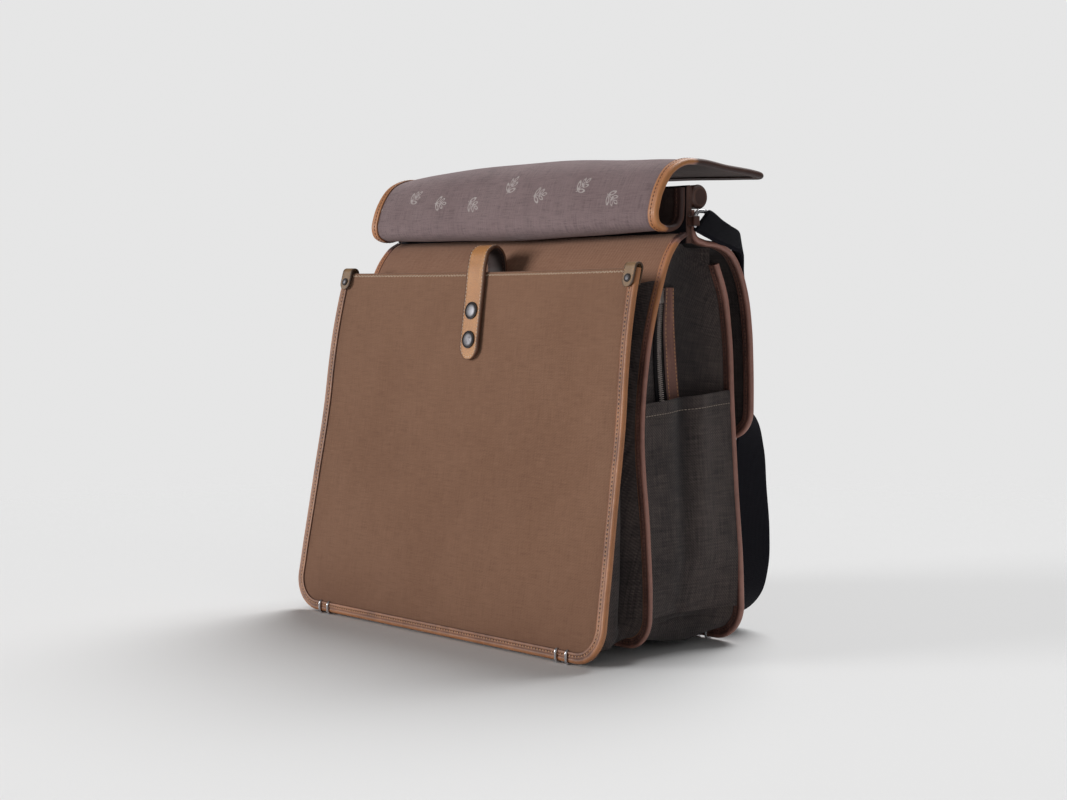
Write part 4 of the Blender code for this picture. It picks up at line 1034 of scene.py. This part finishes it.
def make_flaps(flap, cover):
    """The closed front flap, and the cover flap whose sprigged lining faces out on its roll. Its binding is
    painted paler along the roll, as painted light, and darker elsewhere, which is painted shade towards its
    root."""

    # Painted paler along the roll as painted light; darker elsewhere, which is painted shade towards the
    # root.
    def painted_lighting(s):
        return -2.4 + 3.6 * ramped(s, ROLL_FROM, 8.0) * ramped(-s, -ROLL_TO, 6.0)

    piece("front_flap_canvas", [panel(flap, LINED_FLAP, columns=90, seed=8)], [DARK_CANVAS],
          ["front_flap"])
    piece("front_flap_edge_leather", [binding(flap, LINED_FLAP, BINDING_HALF)] + rim_seam(flap, BINDING_HALF),
          [EDGE_LEATHER, BROWN_THREAD], ["front_flap_binding"])
    piece("cover_flap_cloth", [panel(cover, LINED_FLAP, columns=160, counts=(420, 40), slots=[0, 1], seed=9)],
          [LINING, UNDER_LINING], ["cover_flap"])
    # The binding's face towards the flap's underside and the inside of its roll takes the darker edge
    # leather: painted shade.
    below = (binding_section(LINED_FLAP, BINDING_HALF)[0][:, 1] < 0).astype(int)
    edge = binding(cover, LINED_FLAP, BINDING_HALF, counts=(420, 30, 300), slots=below, shading_ramp=painted_lighting)
    piece("cover_flap_edge_leather", [edge] + rim_seam(cover, BINDING_HALF, (1.0, -1.0), slot=2),
          [RED_LEATHER, EDGE_LEATHER, BROWN_THREAD], ["cover_flap_binding"])


def bellows_form(share):
    """Depth of the rear pocket's bellows: slow at the pocket, deepest near the bag."""
    near = share / 0.72
    return np.where(share < 0.72, 0.3 * near + 0.7 * near ** 5, ((1 - share) / 0.28) ** 0.8)


def box_form(share):
    """Depth of the body's side: flat in the middle, round towards both walls."""
    return 1 - np.abs(2 * share - 1) ** 2.4


def make_gussets(pocket, back, front):
    """The bellows of the rear pocket and the sides and bottom of the body."""
    bellows = gusset(pocket, back, (1, 2), POCKET_GUSSET_INSET, POCKET_GUSSET_FOLD, 56, bellows_form, 21, 3.0)
    sides = gusset(back, front, (0, 0), BODY_GUSSET_INSET, BODY_GUSSET_FOLD, 70, box_form, 31, 6.5,
                   SIDES_RISE_TO)
    piece("pocket_bellows", [bellows], [DARK_CANVAS], ["pocket_gusset"])
    piece("body_sides", [sides], [DARK_CANVAS], ["body_gusset"])


def make_side_pocket(back, front):
    """Open pocket on the side: flat at its foot, standing off in soft upright folds at its sewn hem."""
    high = np.linspace(0.0, 1.0, 170)[::-1]
    lengths = [wall.corner + high * (wall.stops[-8] - wall.corner) for wall in (back, front)]
    share = np.linspace(0.0, 1.0, 90)[None, :] + 0 * high[:, None]
    depth, tone = side_pocket_depth(high[:, None], (lengths[0] - back.corner)[:, None], share)
    hem_line = (lengths[0] - lengths[0][0])[:, None]
    thick = GUSSET_CLOTH + 0.7 / (1 + np.exp(-(hem_line + 10.5) / 0.35))
    top = np.sqrt(np.clip(1 - ramped(hem_line, -1.0, 1.05) ** 2, 0.03, 1))
    middle = depth + GUSSET_CLOTH / 2
    outer = side_grid(back, front, lengths, share, middle - thick / 2 * top)
    inner = side_grid(back, front, lengths, share, middle + thick / 2 * top)
    width = np.linalg.norm(outer[:, -1] - outer[:, 0], axis=1)[:, None] * share
    shape = loft(there_and_back(outer, inner), along=-lengths[0], around=once_round(width),
                 tone=there_and_back(tone))
    path = outer[int(np.argmin(np.abs(hem_line[:, 0] + 9.0)))]
    length = measured(path)
    at = np.arange(1.5, length[-1] - 1, 2.9)
    centre = np.stack([np.interp(at, length, path[:, k]) for k in range(3)], axis=1)
    ahead = unit(np.stack([np.gradient(centre[:, k]) for k in range(3)], axis=1))
    up = np.broadcast_to([1.0, 0.0, 0.0], centre.shape)
    return [shape, stitches(centre, ahead, up, long=2.2, radius=0.3, slot=1)]


def side_pocket_depth(tall, up, share):
    """How deep the side pocket's cloth lies, and its tone: from the bag's side at its foot to near the
    outline further up, with a valley, a ridge, a crease at the foot and soft waves."""
    rise = ramped(up, 0.0, SIDE_POCKET_SLOPE)
    bulge = BODY_GUSSET_FOLD * (1 - rise) * np.sin(math.pi * share)
    depth = SIDE_DEPTH + (SIDE_POCKET_INSET - SIDE_DEPTH) * rise + bulge
    ease = np.sin(math.pi * share) ** 0.6
    bend = share + 0.02 * np.sin(4 * tall + 1.0)
    valley = 4.6 * hump(bend - 0.4 - 0.04 * tall, 0.07 + 0.05 * tall) * (0.2 + 0.8 * tall)
    ridge = -2.2 * hump(bend - 0.62, 0.13) * (0.3 + 0.7 * tall)
    crease = -1.5 * hump(share - 0.55 + 2.4 * tall, 0.07) * np.clip(1 - 3.5 * tall, 0, 1)
    soft = 0.6 * waves(60 * share, 150 * tall, 51, 95.0)
    # Painted shade in the valley and painted light on the ridge, with soft random waves.
    tone = -0.22 * valley + 0.25 * waves(60 * share, 150 * tall, 52, 70.0) - 0.22 * ridge
    return depth + ease * (valley + ridge + crease + soft), tone


def zip_rows(back, front, shares, across):
    """Rows up the side between the zipper's heights: lengths up both walls, shares of the depth at places
    across the strip, and the heights."""
    heights = np.linspace(*ZIP_SPAN, ZIP_ROWS)
    rise = np.linspace(0.0, 1.0, ZIP_ROWS)[:, None]
    low, high = (np.asarray(pair) for pair in shares)
    edge = (1 - rise) * low + rise * high
    share = edge[:, :1] + (edge[:, 1:] - edge[:, :1]) * across
    return (back.at_height(heights), front.at_height(heights)), share, heights


def side_depth(share, lift):
    """How deep inside the outline a piece lies that stands off the body's side by a lift."""
    return BODY_GUSSET_INSET - lift + BODY_GUSSET_FOLD * np.clip(box_form(share), 0, 1)


def zip_path(back, front, shares, across, lift):
    """A line up the side, at one place across a strip and a lift off the cloth."""
    lengths, share, _ = zip_rows(back, front, shares, across)
    return side_grid(back, front, lengths, share, side_depth(share, lift))[:, 0]


def zip_metal(line):
    """Teeth along a line, by turns to its two sides, each a tapered oval block, and a slider near its top."""
    ahead = unit(np.gradient(line, axis=0))
    out = np.array([1.0, 0.0, 0.0])
    wide = unit(np.cross(ahead, out))
    way = np.where(np.arange(len(line)) % 2, 1.0, -1.0)[:, None]
    t = np.array([-1.0, -0.55, 0.55, 1.0])[:, None, None]
    size = np.array([0.55, 1.0, 1.0, 0.7])[:, None, None]
    angle = np.linspace(0, 2 * math.pi, 8, endpoint=False)[None, :, None]
    centre, along, aside = line[:, None, None], ahead[:, None, None], (wide * way)[:, None, None]
    oval = 0.52 * np.cos(angle) * along + 0.95 * np.sin(angle) * out
    teeth = many(centre + aside * (1.0 + t * 1.5) + size * oval, 1)
    t = np.linspace(0, 1, 12)
    path = line[-16] + 9 * t[:, None] * ahead[2]
    points, *rest = ribbon(path, np.tile(wide[2], (12, 1)), np.tile(out, (12, 1)), 2.6 + 0.9 * t ** 2,
                           2.4 + 0 * t, 8)
    return [teeth, slotted((points + out * 0.9, *rest), 1)]


def make_zipper(back, front):
    """Zipper tape with its metal, and a leather strip beside it that is sewn along both edges."""
    worn = 0.3 - 1.2 * np.abs(np.linspace(-1, 1, 20)) ** 9
    tone = np.tile(np.concatenate([worn, worn]), (ZIP_ROWS, 1))
    shapes = []
    for shares, lift, thick in ((ZIP_SHARES, TAPE_LIFT, 1.0), (ZIP_STRIP_SHARES, ZIP_STRIP_LIFT, 1.6)):
        lengths, share, heights = zip_rows(back, front, shares, np.linspace(0.0, 1.0, 20)[None])
        shapes.append(side_strip(back, front, lengths, share, side_depth(share, lift), thick, heights, tone))
    tape, strip = shapes
    sewn = [path_stitches(zip_path(back, front, ZIP_STRIP_SHARES, place, ZIP_STRIP_LIFT), 2.9)
            for place in (0.16, 0.84)]
    line = dense(zip_path(back, front, ZIP_SHARES, 0.55, TEETH_LIFT), 0.75)
    return [tape] + zip_metal(line), [strip] + sewn


def path_stitches(path, pitch, slot=1):
    """Stitches at an even pitch along a path of points on the bag's side."""
    length = measured(path)
    count = max(1, int(length[-1] / pitch))
    at = (np.arange(count) + 0.5) * length[-1] / count

    def pick(where):
        return np.stack([np.interp(where, length, path[:, k]) for k in range(3)], axis=1)

    ahead = unit(pick(at + 0.5) - pick(at - 0.5))
    return stitches(pick(at), ahead, np.broadcast_to([1.0, 0.0, 0.0], ahead.shape), slot=slot)


def make_sides(back, front):
    """Pocket, zipper and leather strip on both sides."""
    pocket = make_side_pocket(back, front)
    tape, strip = make_zipper(back, front)
    for end, way in SIDES:
        piece("side_pocket_cloth_" + end, [way(shape) for shape in pocket], [DARK_CANVAS, GREY_THREAD],
              ["side_pocket_" + end])
        piece("zipper_tape_" + end, [way(shape) for shape in tape], [TAPE, ZIP_METAL],
              ["zipper_" + end])
        piece("zip_leather_" + end, [way(shape) for shape in strip], [EDGE_LEATHER, TAN_THREAD],
              ["zip_strip_" + end])


def strap_aside(s):
    """How far the closing strap lies aside at a length from its end, as a vector across the bag."""
    return (-1.8 - 2.2 * ramped(np.asarray(s, float), 0.0, 85.0))[..., None] * [1.0, 0.0, 0.0]


def strap_leather(strap):
    """Thick leather, half round at its end, with dark round edges, a sewn groove and an underside painted
    dark as shade.
    """
    tip = STRAP_HALF - STRAP_HALF * np.cos(np.linspace(0.04, math.pi / 2, 26))
    s = np.concatenate([tip, np.linspace(STRAP_HALF, strap.length, 150)[1:]])
    half = np.sqrt(np.clip(STRAP_HALF ** 2 - np.clip(STRAP_HALF - s, 0, None) ** 2, 0.3, None))
    size = STRAP_LEATHER * np.sqrt(np.clip(1 - (1 - ramped(s, -0.35, 1.2)) ** 2, 0.1, 1))
    a, round_a, b, edge = band_section(40, 7, 12)
    trim = np.minimum(size / 2, half * 0.9)
    x = (half - trim)[:, None] * a + trim[:, None] * round_a
    from_seam = np.abs(x) - (half[:, None] - STRAP_HALF + STRAP_SEAM)
    groove = 0.22 * hump(from_seam, 0.45) * (s[:, None] > 2.4)
    n = size[:, None] / 2 * b - np.sign(b) * groove * (np.abs(b) > 0.99)
    # Dyed dark round edges and soft waves; the underside's dark tone is painted shade under the arch.
    tone = -1.3 * edge[None] + 0.25 * np.abs(waves(x, s[:, None], 61, 30.0)) - 1.4 * (b > 0.99)
    tone = np.where(s[:, None] < 1.0, -0.8, tone) * np.ones_like(x)
    points = strap.place(x, s[:, None], n) + strap_aside(s[:, None])
    # The underside takes the dark brown leather: painted shade.
    return loft(points, along=s, tone=tone, slots=np.where(b > 0.5, 2, 0))


def strap_seams(strap):
    """The sewn line down one edge, round the end and up the other, pale outside and brown inside."""
    side = np.linspace(strap.length - 2, STRAP_HALF, 120)
    around = np.linspace(0, math.pi, 40)[1:-1]
    x = np.concatenate([0 * side + STRAP_SEAM, STRAP_SEAM * np.cos(around), 0 * side - STRAP_SEAM])
    s = np.concatenate([side, STRAP_HALF - STRAP_SEAM * np.sin(around), side[::-1]])
    x = x + strap_aside(s)[:, 0]
    return [seam(strap, x, s, way * (STRAP_LEATHER / 2 - 0.12), 2.9, slot=slot, long=1.8, radius=0.36)
            for way, slot in ((-1.0, 1), (1.0, 3))]


def make_closing_strap():
    """The strap over the pocket's top and its two domed snaps in dark rims."""
    strap = Wall(STRAP_ROWS, STRAP_HALF, STRAP_HALF, STRAP_HALF - 0.5, above=12)
    piece("closing_strap_leather", [strap_leather(strap)] + strap_seams(strap),
          [TAN_LEATHER, PALE_THREAD, DARK_LEATHER_AND_SHADE, BROWN_THREAD], ["closing_strap"])
    for name, at in SNAP_FROM_END.items():
        face = strap.place(0.0, at, -STRAP_LEATHER / 2)
        cap = turned(face + strap_aside(at), face - strap.place(0.0, at, 0.0), SNAP_CAP)
        piece(name + "_cap", [cap], [STEEL], [name])


def tab_leather(pocket, leg, top):
    """A tab folded over the pocket's top edge: a band on a path down, over and down, round at its front."""
    over = arc((0.0, top), leg, 180.0, 0.0, 25)
    path = dense(np.concatenate([[(-leg, top - TAB_FRONT)], over, [(leg, top - TAB_REAR)]]), 0.5)
    from_end = measured(path)
    short = np.clip(TAB_HALF - 0.4 - from_end, 0, None)
    half = np.minimum(TAB_HALF, np.sqrt(np.clip(TAB_HALF ** 2 - short ** 2, 0.4, None)))
    step = unit(np.gradient(path, axis=0))
    a, round_a, b, edge = band_section(16, 5, 10)
    x = (half - TAB_LEATHER / 2)[:, None].clip(0.1) * a + TAB_LEATHER / 2 * round_a
    off = TAB_LEATHER / 2 * b[None]
    n = path[:, :1] - step[:, 1:] * off
    s = path[:, 1:] + step[:, :1] * off
    return loft(pocket.place(TAB_X + x, s, n), along=from_end, tone=0.35 - 1.2 * edge[None] + 0 * x)


def make_corner_tabs(pocket):
    """Leather tabs folded over the pocket's top corners, sewn along both edges and riveted."""
    leg = BINDING_HALF + 0.3 + TAB_LEATHER / 2
    top = pocket.length + 0.3
    s = np.linspace(top - TAB_FRONT + 5, top - 1, 40)
    sewn = [seam(pocket, TAB_X + way * TAB_SEAM + 0 * s, s, -(leg + TAB_LEATHER / 2 - 0.1), 2.6, slot=1,
                 long=1.7, radius=0.26) for way in (-1.0, 1.0)]
    shapes = [tab_leather(pocket, leg, top)] + sewn
    face = pocket.place(TAB_X, top - RIVET_FROM_TOP, -(leg + TAB_LEATHER / 2))
    rivet = turned(face, face - pocket.place(TAB_X, top - RIVET_FROM_TOP, 0.0), RIVET_HEAD, 32)
    for end, way in SIDES:
        piece("corner_tab_leather_" + end, [way(shape) for shape in shapes], [OLIVE_LEATHER, TAN_THREAD],
              ["corner_tab_" + end])
        piece("corner_rivet_head_" + end, [way(rivet)], [STEEL], ["corner_rivet_" + end])


def make_staples(name, wall, outside):
    """Round wire staples under the foot of a panel, bent round its binding."""
    leg, foot, tip = BINDING_HALF + 0.7, -0.4, CANVAS / 2 + 0.3
    bend = arc((leg - 1.6, foot + 1.6), 1.6, 0.0, -90.0, 9)
    other = arc((-leg + 1.6, foot + 1.6), 1.6, -90.0, -180.0, 9)
    path = dense(np.concatenate([[(tip, 8.6), (leg - 0.5, 8.0), (leg, 6.6)], bend, other,
                                 [(-leg, 6.0), (-tip, 8.0)]]), 0.35)
    for end, side in (("right", 1.0), ("left", -1.0)):
        for number, x in enumerate(STAPLE_X, 1):
            points = wall.place(side * x, path[:, 1], outside * path[:, 0])
            piece(f"{name}_wire_{end}_{number}", [wire(points, WIRE_RADIUS)], [RING_STEEL],
                  [f"{name}_staple_{end}_{number}"])


def ridge_section():
    """Heights up the ridge band, and the share of its thickness that its rounded top leaves at each."""
    rounding = RIDGE_ROUND * np.sin(np.linspace(0, math.pi / 2, 12))[1:]
    foot = np.linspace(RIDGE_FOOT_Z, RIDGE_TOP_Z - RIDGE_ROUND, 40)
    high = np.concatenate([foot, RIDGE_TOP_Z - RIDGE_ROUND + rounding])
    near_top = ramped(high, RIDGE_TOP_Z - RIDGE_ROUND, RIDGE_ROUND + 0.02)
    return high, np.sqrt(np.clip(1 - near_top ** 2, 0.01, 1))


def make_ridge():
    """The band along the top in black canvas, softly uneven, with sewn leather ends."""
    high, share = ridge_section()
    middle = (RIDGE_BACK_Y + RIDGE_FRONT_Y) / 2
    grid = np.zeros((len(high), 160, 3))
    grid[..., 0] = np.linspace(-1, 1, 160) * (RIDGE_HALF - 1.6)
    grid[..., 2] = high[:, None]
    soft = 0.25 * waves(grid[..., 0], grid[..., 2], 71, 60.0)
    faces = []
    for way in (1.0, -1.0):
        face = grid.copy()
        face[..., 1] = middle + way * RIDGE_THICK_HALF * share[:, None] + 0.4 * soft
        faces.append(face)
    piece("ridge_canvas", [loft(there_and_back(*faces), along=high)], [BLACK_CANVAS],
          ["ridge_band"])
    x = np.array([-0.75, -0.6, 0.0, 0.6, 0.75])
    half = np.array([0.2, 2.5, 2.85, 2.5, 0.2])
    rings = np.zeros((len(high), 10, 3))
    rings[..., 0] = RIDGE_HALF - 0.75 + np.concatenate([x, x[::-1]])
    rings[..., 1] = middle + np.concatenate([half, -half[::-1]]) * share[:, None]
    rings[..., 2] = high[:, None]
    cap = loft(rings, along=high, tone=-0.2)
    line = np.stack([0 * high + RIDGE_HALF, 0 * high + middle, high], axis=1)[:38]
    sewn = path_stitches(line, 3.0)
    for end, way in SIDES:
        piece("ridge_leather_" + end, [way(cap), way(sewn)], [DARK_LEATHER_AND_SHADE, BROWN_THREAD],
              ["ridge_end_" + end])


def make_rod():
    """The leather-covered rod: a turned solid with domed ends and a faint swell along it."""
    turn = np.linspace(0, math.pi / 2, 16)[1:]
    flat_end = [(0.0, 0.3, -0.2), (0.0, 4.0, -0.2), (0.15, 5.6, -0.2)]
    dome = [(3.0 - 2.85 * math.cos(t), 5.8 + (ROD_RADIUS - 5.8) * math.sin(t)) for t in turn]
    cap = flat_end + [(*point, 0.3 if k < 4 else 0.0) for k, point in enumerate(dome)]
    length = 2 * RIDGE_HALF
    swell = [(at, ROD_RADIUS - 0.12 + 0.12 * math.sin(at / 9), 0.0) for at in np.linspace(4, length - 4, 120)]
    other = [(length - along, radius, tone) for along, radius, tone in reversed(cap)]
    rod = turned((-RIDGE_HALF, ROD_Y, ROD_Z), (1.0, 0.0, 0.0), cap + swell + other, 64)
    piece("rod_leather", [rod], [DARK_LEATHER_AND_SHADE], ["top_rod"])


def make_rings():
    """A rounded wire ring and its leather loop at each end of the ridge."""
    depth, height = RING_HALF_DEPTH - RING_CORNER, RING_HALF_HEIGHT - RING_CORNER
    corners = (((depth, height), 0.0), ((-depth, height), 90.0), ((-depth, -height), 180.0),
               ((depth, -height), 270.0))
    arcs = [arc(centre, RING_CORNER, start, start + 90.0, 14)[:-1] for centre, start in corners]
    flat = dense(np.concatenate(arcs + [arcs[0][:1]]), 0.8)[:-1]
    path = np.stack([np.full(len(flat), RING_X), RING_Y + flat[:, 0], RING_Z + flat[:, 1]], axis=1)
    ring = wire(path, RING_WIRE_RADIUS, 16, loop=True)
    radius = RING_WIRE_RADIUS + 0.3 + RING_LOOP_LEATHER / 2
    bend = arc((0.0, RING_Y - RING_HALF_DEPTH), radius, 180.0, 0.0, 19)
    foot = RIDGE_BACK_Y + 0.4
    line = dense(np.concatenate([[(-radius, foot)], bend, [(radius, foot)]]), 0.4)
    step = unit(np.gradient(line, axis=0))
    count = len(line)
    centre = np.stack([RING_X + line[:, 0], line[:, 1], np.full(count, RING_Z)], axis=1)
    normal = np.stack([-step[:, 1], step[:, 0], np.zeros(count)], axis=1)
    loop = ribbon(centre, np.tile([0.0, 0.0, 1.0], (count, 1)), normal, np.full(count, RING_LOOP_HALF),
                  np.full(count, RING_LOOP_LEATHER), 14, worn=-0.7)
    for end, way in SIDES:
        piece("ring_wire_" + end, [way(ring)], [RING_STEEL], ["ring_" + end])
        piece("ring_leather_" + end, [way(loop)], [DARK_LEATHER_AND_SHADE], ["ring_loop_" + end])


def make_shoulder_strap():
    """Webbing from ring to ring: a flat ribbed band on a smooth path, bunched and thicker at the rings."""
    right = np.array(SHOULDER_ROWS)
    half = smooth(np.concatenate([right, right[-1:] * [0, 1, 1, 1, 1, 1, 1]]), steps=24, axes=3)
    mirror = half[-2::-1] * np.array([-1.0, 1.0, 1.0, 1.0, -1.0, 1.0, 1.0])
    rows = dense(np.concatenate([half, mirror]), 1.4)
    centre = rows[:, :3]
    ahead = unit(np.gradient(centre, axis=0))
    across = unit(rows[:, 4:7])
    normal = unit(np.cross(ahead, across))
    bunched = WEBBING * (1 + (WEBBING_HALF - rows[:, 3]) / 8.5)
    shape = ribbon(centre, across, normal, rows[:, 3], bunched, 40, along=measured(centre), worn=0.5)
    piece("shoulder_webbing", [shape], [WEB], ["shoulder_strap"])


def build():
    """Every piece of the bag."""
    pocket = Wall(POCKET_ROWS, FOOT_HALF, POCKET_TOP_HALF, PANEL_CORNER, HEM_REAR_Z, above=5, sway=0.9,
                  seed=2, size=150.0)
    back = Wall(BACK_ROWS, FOOT_HALF, PANEL_TOP_HALF, BACK_CORNER, HEM_REAR_Z, above=6, sway=0.7,
                seed=3, size=120.0)
    front = Wall(FRONT_ROWS, FOOT_HALF, PANEL_TOP_HALF, PANEL_CORNER, HEM_FRONT_Z, above=5, sway=0.8,
                 seed=4, size=130.0)
    flap = Wall(FRONT_FLAP_ROWS, FLAP_HALF, FLAP_ROOT_HALF, FRONT_FLAP_CORNER, above=9, sway=0.6, seed=5,
                size=130.0)
    cover = Wall(COVER_ROWS, RIDGE_HALF, RIDGE_HALF, COVER_CORNER, above=16, sway=1.7, seed=6, size=105.0)
    make_pocket(pocket)
    make_back_and_front(back, front)
    make_flaps(flap, cover)
    make_gussets(pocket, back, front)
    make_sides(back, front)
    make_closing_strap()
    make_corner_tabs(pocket)
    make_staples("pocket", pocket, -1.0)
    make_staples("front", front, 1.0)
    make_ridge()
    make_rod()
    make_rings()
    make_shoulder_strap()


# Floor, light and camera


def make_floor():
    """Pale floor, clear at its far rim so that it passes into the backdrop's even grey."""
    made = bpy.data.materials.new("pale floor")
    made.use_nodes = True
    board = Board(made.node_tree)
    shader = made.node_tree.nodes["Principled BSDF"]
    spot = board.add("TexCoord").outputs["Object"]
    shader.inputs["Roughness"].default_value = 0.9
    shader.inputs["Specular IOR Level"].default_value = 0.1
    board.feed(shader.inputs["Base Color"], board.mix(board.noise(spot, 3.0), FLOOR_DULL, FLOOR_PALE))
    away = board.add("VectorMath", {0: spot}, operation="LENGTH").outputs["Value"]
    board.feed(shader.inputs["Alpha"], board.ramp(away, FLOOR_CLEAR_FROM, FLOOR_SOLID_TO))
    mesh = bpy.data.meshes.new("floor")
    low, high = -FLOOR_REACH, FLOOR_REACH
    mesh.from_pydata([(low, low, 0), (high, low, 0), (high, high, 0), (low, high, 0)], [], [(0, 1, 2, 3)])
    mesh.materials.append(made)
    floor = bpy.data.objects.new("floor", mesh)
    bpy.context.scene.collection.objects.link(floor)


def make_sun(name, toward, width, strength):
    """A broad soft light from far away, in the direction given from the bag, its width in degrees."""
    light = bpy.data.lights.new(name, "SUN")
    light.angle, light.energy = math.radians(width), strength
    lamp = bpy.data.objects.new(name, light)
    lamp.rotation_euler = Vector(toward).to_track_quat("Z", "Y").to_euler()
    bpy.context.scene.collection.objects.link(lamp)


def make_studio():
    """An even pale surround, a soft light to the left of the camera, a wide one above and behind the bag,
    and a low weak one on the bag's right side."""
    world = bpy.data.worlds.new("studio")
    world.use_nodes = True
    board = Board(world.node_tree)
    seen = board.add("LightPath").outputs["Is Camera Ray"]
    backing = world.node_tree.nodes["Background"]
    backing.inputs["Color"].default_value = (1.0, 1.0, 1.0, 1.0)
    board.feed(backing.inputs["Strength"], board.math("MULTIPLY_ADD", seen, BACKDROP - SURROUND, SURROUND))
    scene = bpy.context.scene
    scene.world = world
    scene.view_settings.view_transform = "Standard"
    for name, toward, width, strength in SUNS:
        make_sun(name, toward, width, strength)


def make_camera():
    """The photograph's viewing angle, fitted to the bag's edges in it."""
    camera = bpy.data.cameras.new("camera")
    camera.sensor_width = SENSOR
    camera.lens = LENS_PIXELS / PHOTO_WIDTH * SENSOR
    camera.clip_end = 20.0
    holder = bpy.data.objects.new("camera", camera)
    x, y, z = CAMERA_PLACE
    holder.location = (x, y + SHIFT_Y * MM, z)
    holder.rotation_euler = (math.radians(90 - CAMERA_DOWN), 0.0, math.radians(CAMERA_TURN))
    bpy.context.scene.collection.objects.link(holder)
    bpy.context.scene.camera = holder


build()
make_floor()
make_studio()
make_camera()
